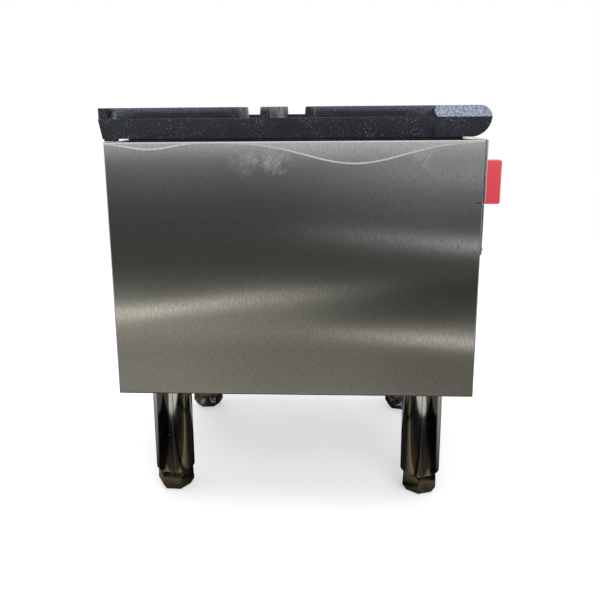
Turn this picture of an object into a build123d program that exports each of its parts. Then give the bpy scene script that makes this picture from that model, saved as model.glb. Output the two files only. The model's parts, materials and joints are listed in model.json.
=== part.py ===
from build123d import *
from math import cos, radians, sin, tan
import os

# A floor-standing gas stock pot range.
# Millimetres, +Z up, front towards -Y, the user's left towards -X.
# The origin is on the floor, under the middle of the whole range.

os.makedirs("parts", exist_ok=True)

# ------------------------------------------------------------------ driving dimensions: body
body_width = 457.0
body_depth = 484.0
body_height = 342.0
leg_height = 175.0            # floor to the underside of the body
sheet = 1.2                   # stainless sheet
bend = 2.0                    # outside radius of a fold
flange = 22.0                 # the folded edge of a side panel
fit_gap = 0.5                 # between sheet parts that slip into each other
fold_clearance = 0.2          # between a square edge and a fold's inside radius
seat_gap = 0.3                # between a moving piece and what it rests on
overcut = 1.0                 # how far a cut runs past the wall that it goes through

control_height = 79.0         # the control panel, down from the top of the body
control_proud = 3.0           # how far its face stands in front of the body
control_shelf = 12.0          # the fold along its lower edge
apron_height = 67.0           # the flat cover under the control panel
apron_hem = 12.0
relief_length = 9.0           # saw cut in the side panel, level with the panel's lower edge
relief_height = 1.0
back_flange = 15.0
vent_length = 40.0
vent_height = 6.0
vent_pitch_x = 58.0
vent_pitch_z = 20.0
vent_columns = 6
vent_rows = 2
vent_drop = 215.0             # from the top of the body to the middle of the vents

# ------------------------------------------------------------------ driving dimensions: grate
grate_height = 42.0           # the ribs, above the body
grate_rim_height = 28.2       # the rim's top, above the body
grate_skirt_gap = 3.6         # the skirt's lower edge, above the body
grate_side_inset = 2.0        # the rim, inside the body's side
grate_front_overhang = 6.0
grate_rear_overhang = 5.0
grate_side_wall = 15.0
grate_rear_wall = 16.0
grate_side_draft = 2.0        # how far the skirt draws in at its lower edge
grate_rear_draft = 4.0
grate_shelf = 70.5            # the solid shelf along the front
shelf_top_radius = 13.0
shelf_undercut = 22.0         # how far its nose curls back underneath
shelf_bevel = 10.0            # width of the slopes down to the rim at its two ends
shelf_corner_radius = 6.0     # its rear corners, above the rim
shelf_plate = 8.0             # thickness of the shelf's top
shelf_wall = 10.0
shelf_pockets = 3
ridge_thickness = 5.5         # raised rib along the rear
ridge_inset = 1.0
opening_radius = 22.0
lip_width = 7.5               # the recessed lip that stands on the body
lip_front_inset = 28.0        # from the body's front plane to the lip's front end
lip_rear_inset = 31.3         # and from its rear plane to the lip's rear end
heel_length = 15.5            # small foot under each rear corner
heel_inset = 6.0
heel_drop = 2.9
finger_root = 16.0            # finger width at its lower edge
finger_draft = 4.2            # degrees
finger_depth = 34.0
finger_tip = 3.0
finger_seat = 6.0             # how far a finger runs into the wall that carries it
nose_reach = 42.0             # burner centre to the straight fingers' noses
corner_nose_reach = 80.0      # and to the corner fingers' noses

# ------------------------------------------------------------------ driving dimensions: burner
burner_reach = 196.0          # burner centre behind the mixing tubes' mouths
ring_top_drop = 15.0          # ring tops below the top of the body
ring_height = 24.0
ring_wall = 4.0
ring_crown = 8.0              # bevelled top, above the shoulders
ring_bevel = 7.0
crown_wall = 8.0              # iron over the gas channel
outer_ring = (96.0, 124.0)    # inner and outer radius; each valve is in line with its middle
middle_ring = (56.0, 80.0)
inner_ring = (16.0, 39.0)
bridge_width = 14.0
bridge_height = 14.0
port_radius = 1.5
outer_ports = 32
middle_ports = 20
inner_ports = 10
tube_radius = 17.0            # cast mixing tube
tube_bore = 13.0
riser_bore = 9.0              # gas passage up into the outer ring
leg_post_radius = 7.0         # cast legs under the rings
post_angle = 58.0             # degrees from the X axis
pad_width = 30.0
pad_length = 26.0
mouth_radius = 26.0
mouth_plate = 3.0
mouth_length = 28.0
hub_radius = 9.5
hub_bore = 8.4
hub_length = 5.0
window_radius = 17.5
window_width = 7.0
window_angle = 70.0
rail_width = 30.0
rail_thickness = 4.0
rail_tab = 25.0

# ------------------------------------------------------------------ driving dimensions: gas train
knob_drop = 64.0              # knob centre below the top of the body
knob_radius = 31.2
knob_reach = 43.7             # knob face in front of the control panel
knob_gap = 0.8                # behind the knob
knob_skirt = 9.0
knob_skirt_radius = 3.0
knob_bar = 19.0               # width of the grip bar at its foot
knob_bar_draft = 2.5          # degrees
knob_edge = 3.5
stem_radius = 4.0
stem_flat = 1.2
stem_fit = 0.05
stem_in_knob = 26.0
stem_hole = 7.0
valve_radius = 14.0
valve_front = 14.0            # behind the body's front plane
valve_length = 48.0
valve_bore_depth = 30.0
valve_neck = 9.0
valve_neck_length = 6.0
valve_inlet_radius = 9.0
valve_edge = 2.0
manifold_drop = 36.0          # manifold axis below the valves
pipe_radius = 13.35           # three quarter inch pipe
pipe_bore = 10.45
manifold_end_gap = 62.3       # from its ends to the side panels
boss_radius = 11.0
boss_rise = 17.0
elbow_radius = 17.0
elbow_bend = 25.0
socket_radius = 19.5
socket_length = 14.0
socket_fit = 0.05
cap_length = 18.0
cap_edge = 2.0
inlet_projection = 18.0       # threaded end behind the body
thread_radius = 13.0
thread_runout = 2.0
pipe_hole_gap = 1.5
orifice_flats = 13.0
orifice_length = 16.0
orifice_bore = 1.2
orifice_nose = 3.2            # bevel at its tip
mouth_gap = 7.0               # from a valve's neck to the hub of its mixing tube
shutter_radius = 27.0
shutter_thickness = 1.6
shutter_gap = 0.2
shutter_tab = 8.0
shutter_tab_corner = 2.0
shutter_fit = 0.05
clip_radius = 12.0
clip_thickness = 1.2
bracket_spread = 55.0
bracket_width = 30.0
bracket_thickness = 3.0
bracket_foot = 26.0
bracket_margin = 7.5          # in front of the bolt
bolt_radius = 2.5
bolt_tail = 12.0
nut_flats = 8.0
nut_height = 4.0
baffle_gap = 12.0             # behind the bell mouths
baffle_flange = 12.0
baffle_top_gap = 12.0
baffle_tray_gap = 14.0        # over the tray's rim
baffle_notch_gap = 1.0
pilot_valve_size = 16.0
pilot_spout_length = 8.0
pilot_outlet_radius = 6.0
pilot_screw_radius = 4.0
pilot_radius = 3.2
pilot_rise = 24.0             # pilot tube above the manifold
pilot_gap = 9.0               # in front of the outer ring
pilot_bend = 12.0
pilot_tip_radius = 5.0
pilot_tip_length = 18.0
pilot_tip_edge = 1.6
pilot_slot = 3.2

# ------------------------------------------------------------------ driving dimensions: tray
tray_side_gap = 37.3          # to the side panels
tray_height = 40.0
tray_sheet = 1.0
tray_rim = 15.0
tray_apron_gap = 12.5         # tray rim below the apron
tray_front_gap = 4.0
tray_rear_gap = 12.0
tray_handle_width = 150.0
tray_handle_reach = 14.0
tray_handle_lip = 9.0
runner_width = 32.0
runner_height = 17.0
runner_thickness = 1.5

# ------------------------------------------------------------------ driving dimensions: base
base_rail_side = 30.0         # an angle section
rail_sheet = 3.0
gusset_side = 110.0
gusset_sheet = 3.0
gusset_corner = 45.0
leg_inset_x = 72.0
leg_inset_y = 58.0
leg_radius = 28.5
leg_wall = 1.8
leg_cap = 2.5
leg_edge = 1.5
leg_stud_radius = 6.2
leg_stud_length = 18.0
leg_stud_hole = 6.5
leg_nut_flats = 19.0
leg_nut_height = 11.0
insert_height = 22.0
insert_recess = 2.0
foot_height = 31.5
foot_corner = 28.0            # centre to a corner of the hexagon, where it is widest
foot_top_corner = 26.8
foot_chamfer_inset = 6.5
foot_chamfer_height = 10.0
foot_turns = {"front_left": -9.0, "front_right": 14.0, "rear_left": 27.0, "rear_right": 38.0}
foot_stud_radius = 7.9
foot_stud_length = 44.0
foot_stud_fit = 0.05

screw_radius = 2.0
screw_head_radius = 3.4
screw_head_height = 2.2
screw_crown = 0.6             # bevel, as a share of the head's height
screw_length = 9.0
screw_inset = 6.5
screw_rise = 7.0
screw_hole_gap = 0.2

# ------------------------------------------------------------------ places worked out from them
front_reach = body_depth / 2 + control_proud + knob_reach
rear_reach = body_depth / 2 + inlet_projection
body_y = (front_reach - rear_reach) / 2
front_y = body_y - body_depth / 2
rear_y = body_y + body_depth / 2
half_width = body_width / 2
inner_wall = half_width - sheet
corner_gap = bend - sheet + fold_clearance

body_bottom = leg_height
body_top = body_bottom + body_height
grate_top = body_top + grate_height
rim_top = body_top + grate_rim_height
skirt_bottom = body_top + grate_skirt_gap
control_bottom = body_top - control_height
apron_top = control_bottom - fit_gap
apron_bottom = apron_top - apron_height

valve_y = front_y + valve_front
valve_end = valve_y + valve_length
neck_end = valve_end + valve_neck_length
mouth_y = neck_end + mouth_gap + hub_length
burner_y = mouth_y + burner_reach
ring_top = body_top - ring_top_drop
ring_bottom = ring_top - ring_height
channel_height = ring_height - ring_wall - crown_wall
channel_bottom = ring_bottom + ring_wall
port_depth = crown_wall + overcut
valve_z = body_top - knob_drop
tube_bottom = valve_z - tube_radius
manifold_z = valve_z - manifold_drop
manifold_y = valve_y + valve_length / 2
pipe_half_length = inner_wall - manifold_end_gap
inlet_x = pipe_half_length + elbow_bend
tray_rim_z = apron_bottom - tray_apron_gap
tray_half = inner_wall - tray_side_gap
baffle_y = mouth_y + mouth_length + baffle_gap
baffle_top = body_top - baffle_top_gap
baffle_bottom = tray_rim_z + baffle_tray_gap
pilot_y = burner_y - outer_ring[1] - pilot_gap - pilot_tip_radius
post_radius = (outer_ring[0] + outer_ring[1]) / 2
valve_spread = post_radius
post_x = post_radius * cos(radians(post_angle))
post_y = post_radius * sin(radians(post_angle))
rail_pad_y = burner_y - post_y

leg_x = half_width - leg_inset_x
leg_y = body_depth / 2 - leg_inset_y
tube_end = foot_height + seat_gap
gusset_bottom = body_bottom + sheet
corners = {"front_left": (-1, -1), "front_right": (1, -1), "rear_left": (-1, 1), "rear_right": (1, 1)}
sides = {"left": -1, "right": 1}


def facing_front(y):
    """The upright plane at y whose own x and y are the range's X and Z; it faces the front."""
    return Plane(origin=(0, y, 0), x_dir=(1, 0, 0), z_dir=(0, -1, 0))


def profile_at(x):
    """The upright plane at x whose own x and y are the range's Y and Z; it faces the right."""
    return Plane(origin=(x, 0, 0), x_dir=(0, 1, 0), z_dir=(1, 0, 0))


def lengthwise_plane(x, z):
    """A plane for turned shapes about a front-to-rear axis through x and z: (Y, radius)."""
    return Plane(origin=(x, 0, z), x_dir=(0, 1, 0), z_dir=(1, 0, 0))


# ================================================================== side panels
# Each is one sheet folded inwards along its four edges. The saw cut in the front fold is level
# with the lower edge of the control panel.
with BuildPart() as side_panel_left:
    with BuildSketch(profile_at(-half_width)):
        with Locations((body_y, body_bottom + body_height / 2)):
            Rectangle(body_depth, body_height)
    extrude(amount=flange)
    fillet(side_panel_left.faces().sort_by(Axis.X)[0].edges(), radius=bend)
    offset(amount=-sheet, openings=side_panel_left.faces().sort_by(Axis.X)[-1])
    with BuildSketch(profile_at(-half_width)):
        with Locations((front_y + relief_length / 2, control_bottom)):
            Rectangle(relief_length, relief_height)
    extrude(amount=bend, mode=Mode.SUBTRACT)
    with BuildSketch(facing_front(front_y)):
        with Locations((-half_width + screw_inset, apron_bottom + screw_rise)):
            Circle(screw_radius + screw_hole_gap)
    extrude(amount=-sheet, mode=Mode.SUBTRACT)
side_panel_left.part.label = "side_panel_left"
export_step(side_panel_left.part, "parts/side_panel_left.step")

with BuildPart() as side_panel_right:
    mirror(side_panel_left.part, about=Plane.YZ)
side_panel_right.part.label = "side_panel_right"
export_step(side_panel_right.part, "parts/side_panel_right.step")

# ================================================================== back panel
# A pan between the side panels' rear folds, from the top of the body down to the base rail.
back_top = body_top - sheet - fit_gap
back_bottom = body_bottom + sheet + base_rail_side + fit_gap
with BuildPart() as back_panel:
    with BuildSketch(facing_front(rear_y - sheet)):
        with Locations((0, (back_top + back_bottom) / 2)):
            Rectangle(2 * (inner_wall - fit_gap), back_top - back_bottom)
    extrude(amount=back_flange)
    fillet(back_panel.faces().sort_by(Axis.Y)[-1].edges(), radius=bend)
    offset(amount=-sheet, openings=back_panel.faces().sort_by(Axis.Y)[0])
    with BuildSketch(facing_front(rear_y)):
        with Locations((inlet_x, manifold_z)):
            Circle(pipe_radius + pipe_hole_gap)
        with Locations((0, body_top - vent_drop)):
            with GridLocations(vent_pitch_x, vent_pitch_z, vent_columns, vent_rows):
                SlotOverall(vent_length, vent_height)
    extrude(amount=2 * sheet + overcut, mode=Mode.SUBTRACT)
back_panel.part.label = "back_panel"
export_step(back_panel.part, "parts/back_panel.step")

# ================================================================== control panel and apron
# The control panel is a shallow pan whose rim stands on the side panels' front folds. A shelf is
# folded back from its top and another from its bottom, between those folds.
shelf_width = body_width - 2 * (flange + fit_gap)
with BuildPart() as control_panel:
    with BuildSketch(facing_front(front_y)):
        with Locations((0, control_bottom + control_height / 2)):
            Rectangle(body_width, control_height)
    extrude(amount=control_proud)
    fillet(control_panel.faces().sort_by(Axis.Y)[0].edges(), radius=bend)
    offset(amount=-sheet, openings=control_panel.faces().sort_by(Axis.Y)[-1])
    with BuildSketch(facing_front(front_y)):
        with Locations((0, body_top - sheet / 2)):
            Rectangle(shelf_width, sheet)
    extrude(amount=-flange)
    with BuildSketch(facing_front(front_y)):
        with Locations((0, control_bottom + sheet / 2)):
            Rectangle(shelf_width, sheet)
    extrude(amount=-control_shelf)
    with BuildSketch(facing_front(front_y)):
        with Locations((-valve_spread, valve_z), (valve_spread, valve_z)):
            Circle(stem_hole)
    extrude(amount=control_proud, mode=Mode.SUBTRACT)
control_panel.part.label = "control_panel"
export_step(control_panel.part, "parts/control_panel.step")

with BuildPart() as front_apron:
    with BuildSketch(facing_front(front_y)):
        with Locations((0, (apron_top + apron_bottom) / 2)):
            RectangleRounded(body_width - 2 * fit_gap, apron_height, bend)
        with Locations((-half_width + screw_inset, apron_bottom + screw_rise),
                       (half_width - screw_inset, apron_bottom + screw_rise)):
            Circle(screw_radius + screw_hole_gap, mode=Mode.SUBTRACT)
    extrude(amount=sheet)
    with BuildSketch(facing_front(front_y)):
        with Locations((0, apron_bottom + sheet / 2)):
            Rectangle(shelf_width, sheet)
    extrude(amount=-apron_hem)
front_apron.part.label = "front_apron"
export_step(front_apron.part, "parts/front_apron.step")

with BuildPart() as apron_screws:
    for side in sides.values():
        screw_x = side * (half_width - screw_inset)
        with BuildSketch(facing_front(front_y - sheet)):
            with Locations((screw_x, apron_bottom + screw_rise)):
                Circle(screw_head_radius)
        head = extrude(amount=screw_head_height)
        chamfer(head.faces().sort_by(Axis.Y)[0].edges(), length=screw_head_height * screw_crown)
        with BuildSketch(facing_front(front_y - sheet)):
            with Locations((screw_x, apron_bottom + screw_rise)):
                Circle(screw_radius)
        extrude(amount=-screw_length)
apron_screws.part.label = "apron_screws"
export_step(apron_screws.part, "parts/apron_screws.step")

# ================================================================== base rails and gussets
# An angle section across the front and one across the rear, inside the side panels' folds. The
# lying leg is cut away at each end for the leg gussets.
base_rails = {"base_rail_front": -1, "base_rail_rear": 1}
for rail_name, side in base_rails.items():
    fold_y = body_y + side * (body_depth / 2 - sheet)
    with BuildPart() as base_rail:
        with BuildSketch(Plane.XY.offset(gusset_bottom)):
            with Locations((0, fold_y - side * rail_sheet / 2)):
                Rectangle(2 * (inner_wall - corner_gap), rail_sheet)
        extrude(amount=base_rail_side)
        with BuildSketch(Plane.XY.offset(gusset_bottom)):
            with Locations((0, fold_y - side * base_rail_side / 2)):
                Rectangle(2 * (inner_wall - corner_gap - gusset_side - fit_gap), base_rail_side)
        extrude(amount=rail_sheet)
    base_rail.part.label = rail_name
    export_step(base_rail.part, f"parts/{rail_name}.step")

with BuildPart() as leg_gussets:
    for side_x, side_y in corners.values():
        outer_x = side_x * (inner_wall - corner_gap)
        outer_y = body_y + side_y * (body_depth / 2 - sheet - rail_sheet)
        inner_x = outer_x - side_x * gusset_side
        inner_y = outer_y - side_y * gusset_side
        with BuildSketch(Plane.XY.offset(gusset_bottom)):
            with BuildLine():
                Polyline((outer_x, outer_y), (inner_x, outer_y),
                         (inner_x, inner_y + side_y * gusset_corner),
                         (inner_x + side_x * gusset_corner, inner_y),
                         (outer_x, inner_y), close=True)
            make_face()
            with Locations((side_x * leg_x, body_y + side_y * leg_y)):
                Circle(leg_stud_hole, mode=Mode.SUBTRACT)
        extrude(amount=gusset_sheet)
leg_gussets.part.label = "leg_gussets"
export_step(leg_gussets.part, "parts/leg_gussets.step")

# ================================================================== legs and feet
with BuildPart() as leg_nuts:
    for side_x, side_y in corners.values():
        with BuildSketch(Plane.XY.offset(gusset_bottom + gusset_sheet)):
            with Locations((side_x * leg_x, body_y + side_y * leg_y)):
                RegularPolygon(leg_nut_flats / 2, 6, major_radius=False)
                Circle(leg_stud_radius, mode=Mode.SUBTRACT)
        extrude(amount=leg_nut_height)
leg_nuts.part.label = "leg_nuts"
export_step(leg_nuts.part, "parts/leg_nuts.step")

with BuildPart() as leg_inserts:
    for side_x, side_y in corners.values():
        with BuildSketch(Plane.XY.offset(tube_end + insert_recess)):
            with Locations((side_x * leg_x, body_y + side_y * leg_y)):
                Circle(leg_radius - leg_wall)
                Circle(foot_stud_radius + foot_stud_fit, mode=Mode.SUBTRACT)
        extrude(amount=insert_height)
leg_inserts.part.label = "leg_inserts"
export_step(leg_inserts.part, "parts/leg_inserts.step")

for corner_name, (side_x, side_y) in corners.items():
    leg_centre = (side_x * leg_x, body_y + side_y * leg_y)
    with BuildPart() as leg:
        with BuildSketch(Plane.XY.offset(tube_end)):
            with Locations(leg_centre):
                Circle(leg_radius)
        extrude(amount=gusset_bottom - tube_end)
        chamfer(leg.faces().sort_by(Axis.Z)[0].edges(), length=leg_edge)
        with BuildSketch(Plane.XY.offset(tube_end)):
            with Locations(leg_centre):
                Circle(leg_radius - leg_wall)
        extrude(amount=gusset_bottom - leg_cap - tube_end, mode=Mode.SUBTRACT)
        with BuildSketch(Plane.XY.offset(gusset_bottom)):
            with Locations(leg_centre):
                Circle(leg_stud_radius)
        extrude(amount=leg_stud_length)
    leg.part.label = f"leg_{corner_name}"
    export_step(leg.part, f"parts/leg_{corner_name}.step")

    # each foot's hexagon stands as far round as its thread leaves it, in degrees
    foot_turn = foot_turns[corner_name]
    with BuildPart() as foot:
        with BuildSketch(Plane.XY):
            with Locations(leg_centre):
                RegularPolygon(foot_corner - foot_chamfer_inset, 6, rotation=foot_turn)
        with BuildSketch(Plane.XY.offset(foot_chamfer_height)):
            with Locations(leg_centre):
                RegularPolygon(foot_corner, 6, rotation=foot_turn)
        with BuildSketch(Plane.XY.offset(foot_height)):
            with Locations(leg_centre):
                RegularPolygon(foot_top_corner, 6, rotation=foot_turn)
        loft(ruled=True)
        with BuildSketch(Plane.XY.offset(foot_height)):
            with Locations(leg_centre):
                Circle(foot_stud_radius)
        extrude(amount=foot_stud_length)
    foot.part.label = f"foot_{corner_name}"
    export_step(foot.part, f"parts/foot_{corner_name}.step")

# ================================================================== top grate
# One iron casting. Its recessed lips stand on the side panels' top folds. The shelf along the
# front is hollow underneath.
grate_half = half_width - grate_side_inset
grate_front = front_y - grate_front_overhang
grate_rear = rear_y + grate_rear_overhang
opening_half = grate_half - grate_side_wall
opening_front = grate_front + grate_shelf
opening_rear = grate_rear - grate_rear_wall
finger_taper = tan(radians(finger_draft))
finger_bottom = grate_top - finger_depth
rim_finger_width = finger_root - 2 * (rim_top - finger_bottom) * finger_taper
reach_side = opening_half + finger_seat
reach_rear = opening_rear - burner_y + finger_seat
reach_front = burner_y - opening_front + finger_seat
# a corner finger ends in whichever wall of the opening it meets first
reach_corner_rear = min(reach_side, reach_rear) / cos(radians(45))
reach_corner_front = min(reach_side, reach_front) / cos(radians(45))
straight_fingers = {0: reach_side, 90: reach_rear, 180: reach_side, 270: reach_front}
corner_fingers = {45: reach_corner_rear, 135: reach_corner_rear,
                  225: reach_corner_front, 315: reach_corner_front}

with BuildPart() as top_grate:
    # rim, drawn in towards its lower edge
    rim_front = opening_front - shelf_wall
    with BuildSketch(Plane.XY.offset(skirt_bottom)):
        with Locations((0, (rim_front + grate_rear - grate_rear_draft) / 2)):
            Rectangle(2 * (grate_half - grate_side_draft), grate_rear - grate_rear_draft - rim_front)
    with BuildSketch(Plane.XY.offset(rim_top)):
        with Locations((0, (rim_front + grate_rear) / 2)):
            Rectangle(2 * grate_half, grate_rear - rim_front)
    loft(ruled=True)
    # rounded shelf along the front, with bevelled ends
    with BuildSketch(profile_at(-grate_half)):
        with BuildLine():
            Line((opening_front, skirt_bottom), (opening_front, grate_top))
            Line((opening_front, grate_top), (grate_front + shelf_top_radius, grate_top))
            RadiusArc((grate_front + shelf_top_radius, grate_top),
                      (grate_front, grate_top - shelf_top_radius), -shelf_top_radius)
            TangentArc((grate_front, grate_top - shelf_top_radius),
                       (grate_front + shelf_undercut, skirt_bottom), tangent=(0, -1))
            Line((grate_front + shelf_undercut, skirt_bottom), (opening_front, skirt_bottom))
        make_face()
    extrude(amount=2 * grate_half)
    for side in sides.values():
        with BuildSketch(facing_front(opening_front)):
            with BuildLine():
                Polyline((side * grate_half, rim_top), (side * (grate_half - shelf_bevel), grate_top),
                         (side * grate_half, grate_top), close=True)
            make_face()
        extrude(amount=grate_shelf, mode=Mode.SUBTRACT)
        with BuildSketch(Plane.XY.offset(rim_top)):
            with Locations((side * (grate_half - shelf_corner_radius / 2),
                            opening_front - shelf_corner_radius / 2)):
                Rectangle(shelf_corner_radius, shelf_corner_radius)
            with Locations((side * (grate_half - shelf_corner_radius), opening_front - shelf_corner_radius)):
                Circle(shelf_corner_radius, mode=Mode.SUBTRACT)
        extrude(amount=grate_top - rim_top, mode=Mode.SUBTRACT)
    # raised rib along the rear
    with BuildSketch(Plane.XY.offset(rim_top)):
        with Locations((0, grate_rear - ridge_inset - ridge_thickness / 2)):
            Rectangle(2 * grate_half, ridge_thickness)
    extrude(amount=grate_top - rim_top)
    # recessed lips, and a heel under each rear corner
    lip_length = body_depth - lip_front_inset - lip_rear_inset
    lip_y = body_y + (lip_front_inset - lip_rear_inset) / 2
    lip_x = opening_half + lip_width / 2
    heel_width = grate_side_wall - grate_side_draft
    with BuildSketch(Plane.XY.offset(body_top)):
        with Locations((-lip_x, lip_y), (lip_x, lip_y)):
            Rectangle(lip_width, lip_length)
    extrude(amount=grate_skirt_gap)
    with BuildSketch(Plane.XY.offset(skirt_bottom - heel_drop)):
        with Locations((-opening_half - heel_width / 2, grate_rear - heel_inset - heel_length / 2),
                       (opening_half + heel_width / 2, grate_rear - heel_inset - heel_length / 2)):
            Rectangle(heel_width, heel_length)
    extrude(amount=heel_drop)
    # the opening
    with BuildSketch(Plane.XY.offset(body_top)):
        with Locations((0, (opening_front + opening_rear) / 2)):
            RectangleRounded(2 * opening_half, opening_rear - opening_front, opening_radius)
    extrude(amount=grate_rim_height, mode=Mode.SUBTRACT)
    # pockets under the shelf
    pocket_depth = grate_shelf - shelf_undercut - shelf_wall
    pocket_pitch = 2 * (grate_half - shelf_wall) / shelf_pockets
    with BuildSketch(Plane.XY.offset(skirt_bottom)):
        with Locations((0, opening_front - shelf_wall - pocket_depth / 2)):
            with GridLocations(pocket_pitch, 0, shelf_pockets, 1):
                RectangleRounded(pocket_pitch - shelf_wall, pocket_depth, shelf_wall / 2)
    extrude(amount=grate_top - shelf_plate - skirt_bottom, mode=Mode.SUBTRACT)
    # fingers, drafted, with pointed noses towards the burner
    finger_rows = [(angle, nose_reach, reach) for angle, reach in straight_fingers.items()]
    finger_rows += [(angle, corner_nose_reach, reach) for angle, reach in corner_fingers.items()]
    for angle, nose, reach in finger_rows:
        outward = (cos(radians(angle)), sin(radians(angle)), 0)
        with BuildSketch(Plane(origin=(0, burner_y, finger_bottom), x_dir=outward)):
            with BuildLine():
                Polyline((nose, -finger_tip / 2), (nose + finger_root, -finger_root / 2),
                         (reach, -finger_root / 2), (reach, finger_root / 2),
                         (nose + finger_root, finger_root / 2), (nose, finger_tip / 2),
                         close=True)
            make_face()
        extrude(amount=finger_depth, taper=finger_draft)
    # the side fingers run out over the rim to its outer edge
    for side in sides.values():
        with BuildSketch(Plane.XY.offset(rim_top)):
            with Locations((side * (grate_half - grate_side_wall), burner_y)):
                Rectangle(2 * grate_side_wall, rim_finger_width)
        extrude(amount=grate_top - rim_top, taper=finger_draft)
top_grate.part.label = "top_grate"
export_step(top_grate.part, "parts/top_grate.step")

# ================================================================== burner rails
# Two flat bars across the body with their ends folded down onto the side panels.
burner_rails = {"burner_rail_front": -post_y, "burner_rail_rear": post_y}
for rail_name, rail_offset in burner_rails.items():
    with BuildPart() as burner_rail:
        with BuildSketch(facing_front(burner_y + rail_offset)):
            with Locations((0, tube_bottom - rail_thickness / 2)):
                Rectangle(2 * inner_wall, rail_thickness)
            with Locations((-inner_wall + rail_thickness / 2, tube_bottom - rail_tab / 2),
                           (inner_wall - rail_thickness / 2, tube_bottom - rail_tab / 2)):
                Rectangle(rail_thickness, rail_tab)
        extrude(amount=rail_width / 2, both=True)
    burner_rail.part.label = rail_name
    export_step(burner_rail.part, f"parts/{rail_name}.step")


# ================================================================== burner castings
burner_axis = Axis((0, burner_y, 0), (0, 0, 1))


def ring_section(radii):
    """Half section of a ring with a bevelled crown, drawn as (radius, height)."""
    inner, outer = radii
    shoulder = ring_top - ring_crown
    with BuildSketch(facing_front(burner_y)) as section:
        with BuildLine():
            Polyline((inner, shoulder), (inner, ring_bottom), (outer, ring_bottom), (outer, shoulder),
                     (outer - ring_bevel, ring_top), (inner + ring_bevel, ring_top), close=True)
        make_face()
    return section.sketch


def ring_channel(radii):
    """Half section of the gas channel inside a ring."""
    inner, outer = radii
    with BuildSketch(facing_front(burner_y)) as section:
        with Locations(((inner + outer) / 2, channel_bottom + channel_height / 2)):
            Rectangle(outer - inner - 2 * ring_wall, channel_height)
    return section.sketch


def port_circles(radii, count):
    """The ring of flame ports in a crown, drawn just above it."""
    with BuildSketch(Plane.XY.offset(ring_top)) as ports:
        with Locations((0, burner_y)):
            with PolarLocations((radii[0] + radii[1]) / 2, count):
                Circle(port_radius)
    return ports.sketch


def upright_post(x, y, bottom, top, radius):
    """A round cast leg or riser."""
    with BuildSketch(Plane.XY.offset(bottom)) as post:
        with Locations((x, y)):
            Circle(radius)
    extrude(post.sketch, amount=top - bottom)


def lengthwise_bar(x, z, start_y, end_y, radius, mode=Mode.ADD):
    """A round bar or bore along the range's depth, from start_y back to end_y."""
    with BuildSketch(facing_front(start_y)) as bar:
        with Locations((x, z)):
            Circle(radius)
    return extrude(bar.sketch, amount=start_y - end_y, mode=mode)


def mouth_section(x):
    """Half section of a mixing tube's bell mouth, with the hub that its shutter turns on."""
    neck_y = mouth_y + mouth_length
    plate_y = mouth_y + mouth_plate
    with BuildSketch(lengthwise_plane(x, valve_z)) as section:
        with BuildLine():
            Polyline((mouth_y - hub_length, hub_bore), (mouth_y - hub_length, hub_radius),
                     (mouth_y, hub_radius), (mouth_y, mouth_radius), (plate_y, mouth_radius),
                     (neck_y, tube_radius), (neck_y, tube_bore),
                     (plate_y, mouth_radius - mouth_plate), (plate_y, hub_bore), close=True)
        make_face()
    return section.sketch


def air_windows(x, face_y):
    """Two curved windows, above and below the hub of the mixing tube at x."""
    with BuildSketch(Plane(origin=(x, face_y, valve_z), x_dir=(1, 0, 0), z_dir=(0, -1, 0))) as windows:
        for middle in (90, 270):
            arc = CenterArc((0, 0), window_radius, middle - window_angle / 2, window_angle,
                            mode=Mode.PRIVATE)
            SlotArc(arc, window_width)
    return windows.sketch


# The outer casting: two rings joined by four bridges, fed by the left mixing tube, on four legs.
outer_tube_x = -post_radius
outer_tube_end = burner_y + tube_radius
with BuildPart() as outer_burner:
    for radii in (outer_ring, middle_ring):
        revolve(ring_section(radii), axis=burner_axis)
    with BuildSketch(Plane.XY.offset(ring_bottom)) as bridges:
        with Locations((0, burner_y)):
            with PolarLocations((middle_ring[1] + outer_ring[0]) / 2, 4, start_angle=45):
                Rectangle(outer_ring[0] - middle_ring[1] + ring_wall, bridge_width)
    extrude(amount=bridge_height)
    upright_post(outer_tube_x, burner_y, valve_z, ring_bottom + ring_wall / 2, tube_radius)
    for post_side in (-1, 1):
        for rail_offset in burner_rails.values():
            upright_post(post_side * post_x, burner_y + rail_offset, tube_bottom,
                         ring_bottom + ring_wall / 2, leg_post_radius)
    lengthwise_bar(outer_tube_x, valve_z, mouth_y + mouth_length, outer_tube_end, tube_radius)
    with BuildSketch(Plane.XY.offset(tube_bottom)):
        with Locations((outer_tube_x, rail_pad_y)):
            Rectangle(pad_width, pad_length)
    extrude(amount=tube_radius)
    for radii in (outer_ring, middle_ring):
        revolve(ring_channel(radii), axis=burner_axis, mode=Mode.SUBTRACT)
    with BuildSketch(Plane.XY.offset(valve_z)):
        with Locations((outer_tube_x, burner_y)):
            Circle(riser_bore)
    extrude(amount=channel_bottom - valve_z, mode=Mode.SUBTRACT)
    lengthwise_bar(outer_tube_x, valve_z, mouth_y + mouth_length - fit_gap,
                   outer_tube_end - ring_wall, tube_bore, mode=Mode.SUBTRACT)
    revolve(mouth_section(outer_tube_x), axis=Axis((outer_tube_x, 0, valve_z), (0, 1, 0)))
    extrude(air_windows(outer_tube_x, mouth_y - overcut), amount=-mouth_plate - 2 * overcut,
            mode=Mode.SUBTRACT)
    extrude(port_circles(outer_ring, outer_ports), amount=-port_depth, mode=Mode.SUBTRACT)
    extrude(port_circles(middle_ring, middle_ports), amount=-port_depth, mode=Mode.SUBTRACT)
outer_burner.part.label = "outer_burner"
export_step(outer_burner.part, "parts/outer_burner.step")

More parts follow.
